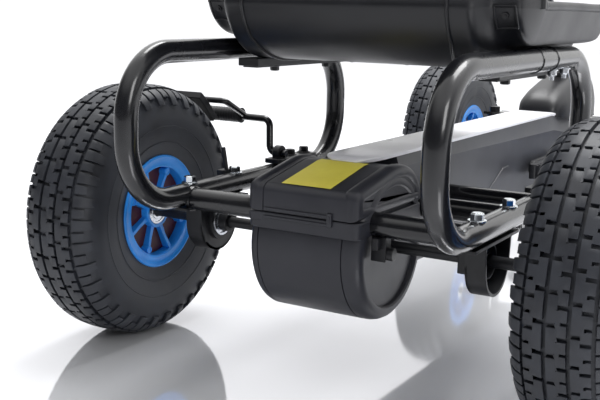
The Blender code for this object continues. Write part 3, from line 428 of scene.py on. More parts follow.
def tyre_mesh():
    """A whole tyre round the origin: carcass, side rings and tread."""
    bm = bmesh.new()
    for outline, height in TREAD_BLOCKS:
        tread_block(bm, outline, height)
    one = bm.verts[:] + bm.edges[:] + bm.faces[:]
    bmesh.ops.spin(
        bm,
        geom=one,
        cent=(0, 0, 0),
        axis=(1, 0, 0),
        angle=math.tau * (PITCHES - 1) / PITCHES,
        steps=PITCHES - 1,
        use_duplicate=True,
    )
    half = smooth_line(CARCASS, 4)
    inner = [(0.0342, 0.0585), (0.0325, 0.0545), (0.0300, 0.0520)]
    side = [(p.x, p.y) for p in half] + inner
    profile = [(r, x) for x, r in side] + [(r, -x) for x, r in reversed(side)]
    turned(bm, profile, 120)
    for x in (1, -1):
        for where, thick in ((0.0735, 0.0009), (0.0905, 0.0006)):
            spot = min(half, key=lambda p: abs(p.y - where))
            bead(bm, (x * (spot.x - 0.0001), 0, 0), (1, 0, 0), spot.y, thick, 120)
    mesh = bpy.data.meshes.new("tyre")
    bmesh.ops.recalc_face_normals(bm, faces=bm.faces)
    bm.to_mesh(mesh)
    bm.free()
    return mesh


SPOKES = 8
BOSS_AT = 0.0425
SPOKE_FROM = 0.0165
SPOKE_TO = 0.0478
WEB_AT = 0.0230


def hub_mesh():
    """The coloured moulding: two flanges and a well, the spokes with their screw bosses, and the nave."""
    bm = bmesh.new()
    rim = [
        (0.0594, 0.0335),
        (0.0597, 0.0350),
        (0.0588, 0.0362),
        (0.0574, 0.0364),
        (0.0560, 0.0352),
        (0.0500, 0.0340),
        (0.0482, 0.0343),
        (0.0470, 0.0336),
        (0.0466, 0.0320),
        (0.0462, 0.0),
    ]
    outer = [(0.0500, 0.0), (0.0500, 0.0300), (0.0560, 0.0325)]
    across = rim + [(r, -x) for r, x in reversed(rim[:-1])]
    across += [(r, -x) for r, x in reversed(outer[1:])] + outer
    turned(bm, across, 96)
    nave = [(0.0180, 0.0300), (0.0174, 0.0310), (0.0146, 0.0310), (0.0142, 0.0300)]
    turned(bm, nave + [(r, -x) for r, x in reversed(nave)], 64)
    for k in range(SPOKES):
        turn = Matrix.Rotation(math.tau * k / SPOKES, 4, "X")
        for face in (1, -1):
            root, tip = 0.0026, 0.0017
            rows = []
            for radius, half, front in ((SPOKE_FROM, root, 0.0285), (0.030, 0.0019, 0.0292), (SPOKE_TO, tip, 0.0322)):
                rows.append(
                    [
                        turn @ Vector((face * 0.004, -half * 1.2, radius)),
                        turn @ Vector((face * front, -half, radius)),
                        turn @ Vector((face * front, half, radius)),
                        turn @ Vector((face * 0.004, half * 1.2, radius)),
                    ]
                )
            loft(bm, rows)
            if k % 2:
                centre = turn @ Vector((0, 0, BOSS_AT))
                pillar = [(0.0042, 0.004), (0.0040, 0.0312), (0.0035, 0.0318), (0.0022, 0.0318), (0.0020, 0.0260), (0.0020, 0.004)]
                turned(bm, [(r, face * x) for r, x in pillar], 20, centre)
    mesh = bpy.data.meshes.new("rim")
    bmesh.ops.recalc_face_normals(bm, faces=bm.faces)
    bm.to_mesh(mesh)
    bm.free()
    return mesh


TYRE = tyre_mesh()
RIM = hub_mesh()


def wheel(place, body, x, ahead):
    """One wheel's tyre, rim, web, bearings and boss screws."""
    centre = at(x, ahead, TYRE_RADIUS)
    shift = Matrix.Translation(centre) @ Matrix.Rotation(math.radians(24 + 7 * ahead), 4, "X")
    tyre = bmesh.new()
    tyre.from_mesh(TYRE)
    tyre.transform(shift)
    piece(f"tyre_{place}_tread", tyre, RUBBER, body, (f"tyre_{place}",), sharp=38)
    rim = bmesh.new()
    rim.from_mesh(RIM)
    rim.transform(shift)
    piece(f"rim_{place}", rim, BLUE, body, (f"hub_{place}",), bevel=0.0004)
    web = bmesh.new()
    # The web disc carries painted shade: dark maroon in place of the rim's own blue, where the recess lies in shade.
    turned(web, [(0.0150, -WEB_AT), (0.0464, -WEB_AT), (0.0464, WEB_AT), (0.0150, WEB_AT)], 64)
    web.transform(shift)
    piece(f"rim_web_{place}", web, WEB_RECESS_SHADE, body)
    steel = bmesh.new()
    for side in (1, -1):
        race = [(0.0140, 0.0295), (0.0138, 0.0306), (0.0118, 0.0306), (0.0114, 0.0298), (0.0090, 0.0298), (0.0086, 0.0306)]
        race += [(0.0064, 0.0306), (0.0062, 0.0200), (0.0140, 0.0200)]
        turned(steel, [(r, side * x) for r, x in race], 56)
        for k in range(1, SPOKES, 2):
            spot = Matrix.Rotation(math.tau * k / SPOKES, 4, "X") @ Vector((0, 0, BOSS_AT))
            turned(steel, [(0.0004, side * 0.0275), (0.0019, side * 0.0275), (0.0019, side * 0.022), (0.0004, side * 0.022)], 12, spot)
    steel.transform(shift)
    piece(f"hub_bearings_{place}", steel, ZINC, body)


wheel("rear_left", "rear_left_wheel", -REAR_HALF_TRACK, 0)
wheel("rear_right", "rear_axle", REAR_HALF_TRACK, 0)
wheel("front_left", "front_left_wheel", -FRONT_HALF_TRACK, WHEELBASE)
wheel("front_right", "front_right_wheel", FRONT_HALF_TRACK, WHEELBASE)


# Frame tubes


def middle(node):
    low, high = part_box(node)
    return (Vector(low) + Vector(high)) / 2


LOOP_LOW, LOOP_HIGH = 0.1639, 0.3033
LOOP_BACK, LOOP_FRONT = -0.1305, 0.2578
LOOP_BEND = 0.060
TOP_JOINT, LOW_JOINT = 0.10, 0.15

for side, sign in (("left", -1), ("right", 1)):
    x = sign * LOOP_X
    route = [
        at(x, TOP_JOINT, LOOP_HIGH),
        at(x, LOOP_FRONT, LOOP_HIGH),
        at(x, LOOP_FRONT, LOOP_LOW),
        at(x, LOOP_BACK, LOOP_LOW),
        at(x, LOOP_BACK, LOOP_HIGH),
        at(x, TOP_JOINT, LOOP_HIGH),
    ]
    loop = pipe(bmesh.new(), bend(route, LOOP_BEND, 16)[:-1], TUBE_RADIUS, 28, looped=True)
    piece(f"frame_loop_{side}", loop, PAINT, "frame", (f"loop_rear_{side}", f"loop_front_{side}"))
    sleeve = bmesh.new()
    for k, (y, half) in enumerate(((TOP_JOINT, 0.017), (TOP_JOINT + 0.030, 0.0015))):
        ends = [(y - half, 0.0), (y - half + 0.0006, 0.0007), (y + half - 0.0006, 0.0007), (y + half, 0.0)]
        spots = [at(x, where, LOOP_HIGH) for where, _ in ends]
        pipe(sleeve, spots, [TUBE_RADIUS + 0.0002 + rise for _, rise in ends], 28)
    for y in (LOW_JOINT - 0.0015, LOW_JOINT + 0.0015):
        bead(sleeve, at(x, y, LOOP_LOW), (0, 1, 0), TUBE_RADIUS, 0.0009)
    piece(f"loop_sleeve_{side}", sleeve, PAINT, "frame")
    bolts = bmesh.new()
    for y in (0.108, 0.140) if sign < 0 else (0.146, 0.187):
        foot = at(x, y, LOOP_HIGH - TUBE_RADIUS + 0.0006)
        hex_bolt(bolts, foot, (0, 0, -1), 0.008, 0.005, 0.0058)
        rod(bolts, foot + Vector((0, 0, -0.006)), foot + Vector((0, 0, -0.0105)), 0.0022, 16)
    piece(f"rail_bolts_{side}", bolts, ZINC, "frame")

for name in ("rear_crossbar", "middle_crossbar", "front_crossbar"):
    low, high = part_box(name)
    spot = middle(name)
    reach = LOOP_X - 0.006
    bar = bmesh.new()
    rod(bar, (-reach, spot.y, spot.z), (reach, spot.y, spot.z), TUBE_RADIUS, 32)
    for sign in (-1, 1):
        bead(bar, (sign * (LOOP_X - 0.0095), spot.y, spot.z), (1, 0, 0), TUBE_RADIUS, 0.0014)
        bead(bar, (sign * (LOOP_X - 0.0078), spot.y, spot.z), (1, 0, 0), TUBE_RADIUS + 0.0008, 0.0011)
    piece(f"{name}_tube", bar, PAINT, "frame", (name,))

# Axle hangers: a cheek on the inner side, with its edge folded outwards, under each lower tube.
CHEEK_X, CHEEK_THICK, FOLD_REACH = 0.1385, 0.0028, 0.0190
HANGER_TOP, HANGER_ROUND = 0.1524, 0.0305


def hanger_line(grow):
    """The hanger's edge in side view from the back corner round the bottom to the front one."""
    points = [(-HANGER_ROUND - 0.002 - grow, HANGER_TOP)]
    radius = HANGER_ROUND + grow
    for k in range(25):
        angle = math.radians(182 + 176 * k / 24)
        points.append((radius * math.cos(angle), TYRE_RADIUS + radius * math.sin(angle)))
    return points + [(HANGER_ROUND + 0.002 + grow, HANGER_TOP)]


for side, sign in (("left", -1), ("right", 1)):
    hanger = bmesh.new()
    outer, inner = hanger_line(0.0), hanger_line(-CHEEK_THICK)
    inside, folded = sign * CHEEK_X, sign * (CHEEK_X + FOLD_REACH)
    loft(hanger, [[at(px, y, z) for y, z in outer] for px in (inside, inside + sign * CHEEK_THICK)])
    rows = [[at(inside, *a), at(folded, *a), at(folded, *b), at(inside, *b)] for a, b in zip(outer, inner)]
    loft(hanger, rows)
    block(hanger, at(min(inside, folded), -0.056, HANGER_TOP - 0.0028), at(max(inside, folded), 0.052, HANGER_TOP))
    piece(f"axle_hanger_plate_{side}", hanger, DARK_STEEL, "frame", (f"axle_hanger_{side}",), bevel=0.0004)
    housing = bmesh.new()
    turned(housing, [(0.0150, 0.000), (0.0190, 0.000), (0.0190, 0.0035), (0.0160, 0.0060), (0.0160, 0.0150), (0.0150, 0.0150)], 48)
    housing.transform(Matrix.Translation(at(sign * (CHEEK_X - 0.0032), 0, TYRE_RADIUS)) @ Matrix.Diagonal((sign, 1, 1, 1)))
    piece(f"bearing_cup_{side}", housing, DARK_STEEL, "frame", bevel=0.0003)
    race = bmesh.new()
    rings = [(0.0062, 0.0), (0.0062, -0.0012), (0.0090, -0.0012), (0.0096, 0.0004), (0.0122, 0.0004), (0.0126, -0.0014)]
    rings += [(0.0147, -0.0014), (0.0149, -0.0008), (0.0149, 0.0080), (0.0062, 0.0080)]
    turned(race, rings, 56)
    race.transform(Matrix.Translation(at(sign * (CHEEK_X - 0.0030), 0, TYRE_RADIUS)) @ Matrix.Diagonal((sign, 1, 1, 1)))
    piece(f"axle_race_{side}", race, ZINC, "frame", (f"axle_bearing_{side}",))
    for k in (1, 2):
        node = f"hanger_bolt_{side}_{k}"
        low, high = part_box(node)
        spot = middle(node)
        bolt = bmesh.new()
        foot = Vector((sign * LOOP_X, spot.y, LOOP_LOW + TUBE_RADIUS - 0.0012))
        hex_bolt(bolt, foot, (0, 0, 1), 0.0105, 0.0062, 0.0082)
        rod(bolt, Vector((sign * LOOP_X, spot.y, low[2])), foot, 0.0029, 20)
        piece(f"{node}_head", bolt, CHROME, "frame", (node,), bevel=0.0003)
        node = f"clamp_bolt_{side}_{k}"
        low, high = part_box(node)
        spot = middle(node)
        bolt = bmesh.new()
        hex_bolt(bolt, Vector((spot.x, spot.y, high[2] - 0.0066)), (0, 0, 1), 0.0095, 0.0056, 0.0070)
        rod(bolt, Vector((spot.x, spot.y, low[2])), Vector((spot.x, spot.y, high[2] - 0.006)), 0.0028, 20)
        piece(f"{node}_head", bolt, DARK_STEEL, "frame", (node,), bevel=0.0003)

# Collars and blocks on the rear axle, which turn with it.
collars = bmesh.new()
block(collars, at(0.1245, -0.0125, TYRE_RADIUS - 0.0125), at(0.1345, 0.0125, TYRE_RADIUS + 0.0125))
turned(collars, [(0.0056, -0.1345), (0.0100, -0.1345), (0.0100, -0.1245), (0.0056, -0.1245)], 40, at(0, 0, TYRE_RADIUS))
piece("axle_collars", collars, DARK_STEEL, "rear_axle", bevel=0.0012)


# Gear housing


def inset_line(points, depth):
    """A closed side-view outline moved in by depth."""
    count = len(points)
    area = sum(points[i - 1][0] * points[i][1] - points[i][0] * points[i - 1][1] for i in range(count))
    turn = math.copysign(1, area)
    made = []
    for i in range(count):
        before, spot, after = (Vector(points[(i + k) % count]) for k in (-1, 0, 1))
        one, two = (spot - before).normalized(), (after - spot).normalized()
        normals = [Vector((-d.y, d.x)) * turn for d in (one, two)]
        way = (normals[0] + normals[1]).normalized()
        made.append(tuple(spot + way * depth / max(way.dot(normals[0]), 0.5)))
    return made


def slab(bm, outline, stations):
    """A side-view outline carried along X through (x, inset) stations."""
    return loft(bm, [[at(x, y, z) for y, z in inset_line(outline, depth)] for x, depth in stations])


def rounded_box(bm, low, high, radius, steps=6):
    """A block, in the row's frame, whose upright edges are round."""
    rows = []
    for z in (low[2], high[2]):
        row = []
        for cx, cy, start in ((1, 1, 0), (0, 1, 90), (0, 0, 180), (1, 0, 270)):
            for k in range(steps + 1):
                angle = math.radians(start + 90 * k / steps)
                x = (high[0] - radius if cx else low[0] + radius) + radius * math.cos(angle)
                y = (high[1] - radius if cy else low[1] + radius) + radius * math.sin(angle)
                row.append(Vector((x, y, z)))
        rows.append(row)
    return loft(bm, rows)


HOUSE_X = 0.057
DRUM_PROFILE = [
    (0.0120, -0.0545),
    (0.0520, -0.0545),
    (0.0550, -0.0562),
    (0.0610, -0.0570),
    (0.0660, -0.0562),
    (0.0688, -0.0540),
    (0.0699, -0.0510),
    (0.0699, -0.0477),
    (0.0688, -0.0475),
    (0.0688, -0.0468),
    (0.0700, -0.0466),
    (0.0700, 0.0388),
    (0.0688, 0.0390),
    (0.0688, 0.0397),
    (0.0699, 0.0400),
    (0.0698, 0.0445),
    (0.0688, 0.0490),
    (0.0666, 0.0530),
    (0.0632, 0.0558),
    (0.0600, 0.0568),
    (0.0576, 0.0566),
    (0.0562, 0.0552),
    (0.0556, 0.0520),
    (0.0120, 0.0520),
]
drum = turned(bmesh.new(), DRUM_PROFILE, 128, at(0, 0, TYRE_RADIUS))
piece("gear_drum", drum, HOUSING, "frame", ("gear_case",), sharp=32)

skirt = rounded_box(bmesh.new(), at(-HOUSE_X, -0.0718, 0.1495), at(HOUSE_X, 0.0605, 0.1648), 0.007)
rounded_box(skirt, at(-HOUSE_X + 0.001, -0.0728, 0.1560), at(-0.0405, -0.055, 0.1646), 0.004)
piece("gear_drum_flange", skirt, HOUSING, "frame", bevel=0.0014)

LID_LINE = [(-0.0722, 0.1655), (-0.0724, 0.1835), (-0.0712, 0.1888), (-0.0680, 0.1920), (-0.0640, 0.1935)]
LID_LINE += [(-0.0020, 0.2058), (0.0060, 0.2063), (0.0160, 0.2060)]
LID_LINE += [(0.0160 + 0.0460 * math.sin(math.radians(a)), 0.1655 + 0.0405 * math.cos(math.radians(a))) for a in range(12, 91, 6)]
PANEL_LINE = [(y, z - 0.0018 if z > 0.186 else z) for y, z in LID_LINE]
lid = bmesh.new()
slab(lid, PANEL_LINE, [(x, depth) for x, depth in ((-0.050, 0), (-0.0407, 0), (-0.0405, 0.0009), (-0.0398, 0.0009), (-0.0396, 0.0002), (0.050, 0.0002))])
slab(lid, LID_LINE, [(-0.0548, 0.011), (-0.0566, 0.0100), (-0.0570, 0.0070), (-0.0560, 0.0026), (-0.0535, 0.0005), (-0.0505, 0.0), (-0.0480, 0.0002), (-0.0455, 0.0019)])
slab(lid, LID_LINE, [(0.0410, 0.0019), (0.0440, 0.0004), (0.0470, 0.0), (0.0505, 0.0003), (0.0538, 0.0014), (0.0560, 0.0036), (0.0570, 0.0070), (0.0568, 0.0096), (0.0550, 0.0110)])
piece("gear_lid_shell", lid, HOUSING, "frame", ("gear_case_lid",), sharp=50)

catch = bmesh.new()
block(catch, at(-0.0390, -0.0738, 0.1668), at(0.0265, -0.0700, 0.1694))
block(catch, at(-0.0390, -0.0732, 0.1596), at(0.0265, -0.0700, 0.1618))
block(catch, at(0.0262, -0.0742, 0.1592), at(0.0312, -0.0700, 0.1712))
block(catch, at(0.0276, -0.0747, 0.1625), at(0.0298, -0.0700, 0.1690))
piece("lid_catch", catch, HOUSING, "frame", bevel=0.0006)

patch_rows = []
for y in (-0.0655, -0.0550, -0.0400, -0.0250, -0.0100, -0.0020, 0.0060):
    z = 0.1917 + (y + 0.0640) * (0.2058 - 0.1935) / 0.062 if y < -0.002 else 0.2041 + (y + 0.002) * 0.0625
    patch_rows.append([at(x, y, z + rise) for x, rise in ((-0.025, 0.0002), (0.025, 0.0002), (0.025, 0.0005), (-0.025, 0.0005))])
piece("lid_patch", loft(bmesh.new(), patch_rows), YELLOW, "frame")

stay = bmesh.new()
block(stay, at(0.0555, -0.0440, 0.1275), at(0.0700, -0.0330, 0.1500))
rod(stay, at(0.0700, -0.0385, 0.1345), at(0.0760, -0.0385, 0.1345), 0.0058, 28)
block(stay, at(0.0600, -0.0520, 0.1390), at(0.0660, -0.0400, 0.1500))
piece("drum_stay", stay, DARK_STEEL, "frame", bevel=0.0008)


# Chain case and its cover

SPINE_X = 0.030
SPINE_END, SPINE_FALL = 0.675, 0.57


def spine_top(y):
    return 0.2063 if y < SPINE_FALL else 0.2063 - 0.0140 * (y - SPINE_FALL) / (SPINE_END - SPINE_FALL)


def spine_row(y, pull=0.0):
    """One section of the chain case: dark side, then a band that leans in to the cover."""
    top = spine_top(y)
    band = top - 0.0115 - 0.010 * max(0.0, min(1.0, (y - 0.1) / 0.5))
    low = 0.0885 + max(0.0, y - 0.655) * 1.1
    half = SPINE_X - pull
    right_side = [(half - 0.004, low), (half, low + 0.004), (half, band), (half - 0.0006, band + 0.0010), (0.0262, top - 0.001), (0.0240, top)]
    return [at(x, y, z) for x, z in right_side] + [at(-x, y, z) for x, z in reversed(right_side)]


spine = bmesh.new()
loft(spine, [spine_row(y) for y in (0.0640, 0.10, 0.2, 0.3, 0.4, 0.5, 0.57, 0.62, 0.655)] + [spine_row(0.668, 0.0015), spine_row(0.675, 0.006)])
for sign in (-1, 1):
    for start, end in (((0.306, 0.130), (0.366, 0.157)), ((0.366, 0.157), (0.384, 0.157)), ((0.306, 0.130), (0.306, 0.100))):
        spots = [at(sign * (SPINE_X + 0.0002), *start), at(sign * (SPINE_X + 0.0002), *end)]
        pipe(spine, spots, 0.0011, 10)
    for y in (0.16, 0.44, 0.60):
        turned(spine, [(0.0020, 0.0), (0.0052, 0.0), (0.0052, 0.0014), (0.0044, 0.0018), (0.0028, 0.0018), (0.0020, 0.0)][:5], 24, at(sign * SPINE_X - (0.0009 if sign > 0 else 0.0009), y, 0.104))
piece("chain_case_shell", spine, SPINE, "frame", ("chain_case_left", "chain_case_right"), sharp=30)

cover = bmesh.new()
cover_rows = []
for y, half, sink in (
    (0.0040, 0.0120, 0.0032),
    (0.0070, 0.0185, 0.0014),
    (0.0120, 0.0225, 0.0004),
    (0.0200, 0.0252, 0.0),
    (0.0400, 0.0270, 0.0),
    (0.2, 0.0272, 0.0),
    (0.4, 0.0272, 0.0),
    (0.57, 0.0272, 0.0),
    (0.62, 0.0270, 0.0),
    (0.655, 0.0262, 0.0),
    (0.668, 0.0240, 0.0008),
    (0.6745, 0.0190, 0.0028),
):
    top = spine_top(y) + 0.0034 - sink
    side = [(half - 0.0010, spine_top(y) - 0.0010), (half, top - 0.0014), (half - 0.0005, top - 0.0004), (half - 0.0018, top)]
    cover_rows.append([at(x, y, z) for x, z in side] + [at(-x, y, z) for x, z in reversed(side)])
piece("spine_cover_shell", loft(cover, cover_rows), WHITE, "frame", ("spine_cover",), sharp=30)



# Seat

SEAT_BASE = 0.2953
SEAT_LIP = (0.300, 0.322)
SEAT_BARREL = 0.070
seat_line = [SEAT_LIP, (0.2740, SEAT_BASE + 0.006), (0.2400, SEAT_BASE), (0.1500, SEAT_BASE), (0.0900, SEAT_BASE)]
for angle in range(270, 179, -15):
    turn = math.radians(angle)
    spot = (0.052 + SEAT_BARREL * math.cos(turn), SEAT_BASE + SEAT_BARREL * (1 + math.sin(turn)))
    seat_line.append(spot)
seat_line += [(-0.0430, SEAT_BASE + 0.16), (-0.0680, SEAT_BASE + 0.24), (-0.0930, 0.5865)]
SEAT_LINE = smooth_line(seat_line, 5)
SEAT_HALF = [(0.0, 0.0), (0.062, 0.0), (0.112, 0.0), (0.124, 0.0012), (0.131, 0.010), (0.137, 0.0195), (0.147, 0.0222)]
SEAT_HALF += [(0.158, 0.0225), (0.1635, 0.030), (0.170, 0.056)]
SEAT_HALF_LINE = smooth_line(SEAT_HALF, 4)
SEAT_WALL = 0.006


def seat_way(place):
    """The middle line's point at this place, and the way into the seat there."""
    i = min(int(place), len(SEAT_LINE) - 2)
    spot = SEAT_LINE[i].lerp(SEAT_LINE[i + 1], place - i)
    before, after = SEAT_LINE[max(i - 1, 0)], SEAT_LINE[min(i + 2, len(SEAT_LINE) - 1)]
    course = (after - before).normalized()
    return spot, Vector((course.y, -course.x))


def seat_rise(x):
    for one, two in zip(SEAT_HALF_LINE, SEAT_HALF_LINE[1:]):
        if one.x <= abs(x) <= two.x:
            return one.y + (two.y - one.y) * (abs(x) - one.x) / max(two.x - one.x, 1e-9)
    return SEAT_HALF_LINE[-1].y


def seat_spot(place, x, lift=0.0, rise=None):
    """A point of the seat's outer skin, or lifted off it."""
    spot, inward = seat_way(place)
    up = (seat_rise(x) if rise is None else rise) - lift
    return at(x, spot.x + inward.x * up, spot.y + inward.y * up)


def place_at(height, start=30):
    """Where the back of the middle line reaches a height."""
    for i in range(start, len(SEAT_LINE) - 1):
        if SEAT_LINE[i].y <= height <= SEAT_LINE[i + 1].y:
            return i + (height - SEAT_LINE[i].y) / (SEAT_LINE[i + 1].y - SEAT_LINE[i].y)
    return start


outer = [(-p.x, p.y) for p in reversed(SEAT_HALF_LINE)] + [(p.x, p.y) for p in SEAT_HALF_LINE[1:]]
inner = []
for i, (x, rise) in enumerate(outer):
    before, after = Vector(outer[max(i - 1, 0)]), Vector(outer[min(i + 1, len(outer) - 1)])
    course = (after - before).normalized()
    inner.append((x - course.y * SEAT_WALL, rise + course.x * SEAT_WALL))
shell = bmesh.new()
section = outer + inner[::-1]
loft(shell, [[seat_spot(i, x, rise=rise) for x, rise in section] for i in range(len(SEAT_LINE))])
rim_half = SEAT_HALF_LINE[-1]
edge = [seat_spot(i, -0.1680, rise=rim_half.y + 0.001) for i in range(len(SEAT_LINE))]
edge += [seat_spot(len(SEAT_LINE) - 1, x, lift=-0.003) for x in (-0.158, -0.13, -0.10, -0.05, 0, 0.05, 0.10, 0.13, 0.158)]
edge += [seat_spot(i, 0.1680, rise=rim_half.y + 0.001) for i in reversed(range(len(SEAT_LINE)))]
edge += [seat_spot(0, x, lift=-0.003) for x in (0.158, 0.13, 0.10, 0.05, 0, -0.05, -0.10, -0.13, -0.158)]
pipe(shell, edge, 0.0042, 12, looped=True)
low_place, high_place = 21.0, place_at(0.47)
for sign in (-1, 1):
    seam = []
    for k in range(33):
        share = k / 32
        place = low_place + (high_place - low_place) * share
        seam.append(seat_spot(place, sign * (0.090 + 0.014 * min(1.0, share * 2)), lift=0.0003))
    pipe(shell, seam, [0.0004] + [0.0017] * 31 + [0.0004], 12)
    for x in (0.030, 0.062):
        rib = [seat_spot(3 + 20 * k / 24, sign * x, lift=0.0002) for k in range(25)]
        pipe(shell, rib, [0.0004] + [0.0013] * 23 + [0.0004], 10)
    corners = ((0.1385, 0.318), (0.1570, 0.318), (0.1570, 0.348), (0.1385, 0.348))
    frame_line = []
    for one, two in zip(corners, corners[1:] + corners[:1]):
        for k in range(6):
            x = one[0] + (two[0] - one[0]) * k / 6
            z = one[1] + (two[1] - one[1]) * k / 6
            frame_line.append(seat_spot(place_at(z), sign * x, lift=0.0001))
    pipe(shell, frame_line, 0.0011, 10, looped=True)
piece("seat_bucket", shell, SEAT, "seat", ("seat_shell",), sharp=60)
studs = bmesh.new()
for sign in (-1, 1):
    spot, inward = seat_way(place_at(0.334))
    foot = seat_spot(place_at(0.334), sign * 0.1475, lift=0.0002)
    way = Vector((0, -inward.x, -inward.y))
    rod(studs, foot - way * 0.002, foot + way * 0.0012, 0.0030, 24)
    rod(studs, foot, foot + way * 0.0022, 0.0014, 12)
    for ahead in (0.08, 0.19):
        hex_bolt(studs, at(sign * 0.126, ahead, SEAT_BASE - 0.0085), (0, 0, -1), 0.0085, 0.005, 0.0065)
piece("seat_studs", studs, DARK_STEEL, "seat", bevel=0.0003)
for side, sign in (("left", -1), ("right", 1)):
    low, high = (Vector(corner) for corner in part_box(f"seat_rail_{side}"))
    rail = bmesh.new()
    block(rail, low, high)
    block(rail, (low.x + 0.003, low.y + 0.004, low.z - 0.0016), (high.x - 0.003, high.y - 0.004, low.z))
    piece(f"seat_runner_{side}", rail, DARK_STEEL, "frame", (f"seat_rail_{side}",), bevel=0.0010)


# Brake

ROD_Y = 0.130
grip_from = at(-0.205, ROD_Y + 0.0077, 0.2229)
grip_to = at(-0.286, ROD_Y + 0.008, 0.2230)
lever = bmesh.new()
route = [at(-0.1400, ROD_Y, 0.185), at(-0.1620, ROD_Y, 0.185), at(-0.1665, ROD_Y + 0.006, 0.2215), at(-0.2815, ROD_Y + 0.008, 0.2230)]
pipe(lever, bend(route, 0.0095, 8), 0.0040, 20)
arm = (TYRE_RADIUS + 0.0223) / math.sqrt(2)
route = [at(-0.2010, ROD_Y + 0.0077, 0.2229), at(-0.2090, arm, TYRE_RADIUS + arm), at(-0.2665, arm, TYRE_RADIUS + arm)]
pipe(lever, bend(route, 0.006, 8), 0.0034, 20)
piece("brake_rod", lever, PAINT, "brake", ("brake_lever",))
grip = bmesh.new()
turns = 22
spots, sizes = [], []
for k in range(turns * 4 + 1):
    share = k / (turns * 4)
    spots.append(grip_from.lerp(grip_to, share))
    sizes.append(0.0079 + 0.0005 * math.cos(math.tau * k / 4))
sizes[0], sizes[1] = 0.0060, 0.0088
sizes[-1], sizes[-2] = 0.0062, 0.0084
pipe(grip, spots, sizes, 28)
piece("brake_grip_ribbed", grip, GRIP_RUBBER, "brake", ("brake_grip",), sharp=60)
shoe = bmesh.new()
rows = []
for k in range(9):
    angle = math.radians(45 + 8.2 * (k - 4) / 4)
    near, far = TYRE_RADIUS + 0.0085, TYRE_RADIUS + 0.0170
    edge = [(x, r) for r in (near, far) for x in (-0.0215, 0.0215)]
    order = (edge[0], edge[1], edge[3], edge[2])
    rows.append([at(-REAR_HALF_TRACK + x, r * math.cos(angle), TYRE_RADIUS + r * math.sin(angle)) for x, r in order])
loft(shoe, rows)
piece("brake_shoe", shoe, GRIP_RUBBER, "brake", ("brake_pad",), bevel=0.0012)
for side, sign in (("left", -1), ("right", 1)):
    plate = bmesh.new()
    x = sign * LOOP_X
    top = LOOP_LOW + TUBE_RADIUS
    rounded_box(plate, at(x - 0.0106, 0.1145, top + 0.0002), at(x + 0.0106, 0.1975, top + 0.0052), 0.004)
    for k in (1, 2):
        spot = middle(f"clamp_bolt_{side}_{k}")
        rod(plate, (spot.x, spot.y, top + 0.004), (spot.x, spot.y, top + 0.0062), 0.0082, 28)
    if side == "left":
        turned(plate, [(0.0042, -0.004), (0.0090, -0.004), (0.0090, 0.004), (0.0042, 0.004)], 32, at(x, ROD_Y, 0.185))
        block(plate, at(x - 0.0040, ROD_Y - 0.0085, top + 0.003), at(x + 0.0040, ROD_Y + 0.0085, 0.1815))
    piece(f"loop_clamp_plate_{side}", plate, DARK_STEEL, "frame", (f"loop_clamp_{side}",), bevel=0.0007)
stop = bmesh.new()
rod(stop, at(-0.1560, 0.037, 0.176), at(-0.1600, 0.036, 0.2010), 0.0022, 16)
block(stop, at(-0.1640, 0.030, 0.1720), at(-0.1540, 0.044, 0.1775))
piece("brake_stop", stop, DARK_STEEL, "frame", bevel=0.0006)

# Cranks and pedals

CRANK_AHEAD, CRANK_HEIGHT = 0.56, 0.146
for side, sign in (("left", -1), ("right", 1)):
    reach = -sign * 0.10
    arm = bmesh.new()
    rows = []
    for px, half in ((0.0350, 0.86), (0.0362, 1.0), (0.0408, 1.0), (0.0418, 0.86)):
        row = []
        for k in range(40):
            angle = math.tau * k / 40
            y, z = math.cos(angle), math.sin(angle)
            far = y * reach > 0
            size = 0.0102 if far else 0.0112
            row.append(at(sign * px, CRANK_AHEAD + (reach if far else 0) + size * half * y, CRANK_HEIGHT + size * half * z))
        rows.append(row)
    loft(arm, rows)
    turned(arm, [(0.0010, sign * 0.0350), (0.0140, sign * 0.0350), (0.0135, sign * 0.0435), (0.0010, sign * 0.0440)], 40, at(0, CRANK_AHEAD, CRANK_HEIGHT))
    rod(arm, at(sign * 0.0400, CRANK_AHEAD + reach, CRANK_HEIGHT), at(sign * 0.1135, CRANK_AHEAD + reach, CRANK_HEIGHT), 0.0046, 24)
    rod(arm, at(sign * 0.1130, CRANK_AHEAD + reach, CRANK_HEIGHT), at(sign * 0.1165, CRANK_AHEAD + reach, CRANK_HEIGHT), 0.0068, 6)
    piece(f"crank_arm_bar_{side}", arm, DARK_STEEL, "crank", (f"crank_arm_{side}",), bevel=0.0005)
    pedal = bmesh.new()
    y = CRANK_AHEAD + reach
    near, far = 0.0428, 0.1124
    for px in (near, far - 0.009):
        xs = sorted((sign * px, sign * (px + 0.009)))
        rounded_box(pedal, at(xs[0], y - 0.032, CRANK_HEIGHT - 0.0095), at(xs[1], y + 0.032, CRANK_HEIGHT + 0.0095), 0.003)
    for shift in (-0.0275, -0.0165, 0.0165, 0.0275):
        xs = sorted((sign * (near + 0.006), sign * (far - 0.006)))
        block(pedal, at(xs[0], y + shift - 0.0032, CRANK_HEIGHT - 0.0085), at(xs[1], y + shift + 0.0032, CRANK_HEIGHT + 0.0085))
        for k in range(6):
            px = sign * (near + 0.013 + k * 0.0088)
            block(pedal, at(px - 0.0018, y + shift - 0.0026, CRANK_HEIGHT - 0.0100), at(px + 0.0018, y + shift + 0.0026, CRANK_HEIGHT + 0.0100))
    turned(pedal, [(0.0056, sign * near), (0.0095, sign * near), (0.0095, sign * far), (0.0056, sign * far)], 32, at(0, y, CRANK_HEIGHT))
    piece(f"pedal_body_{side}", pedal, PEDAL, f"{side}_pedal", (f"pedal_{side}",), bevel=0.0006)

# Steering column, wheel and cowl

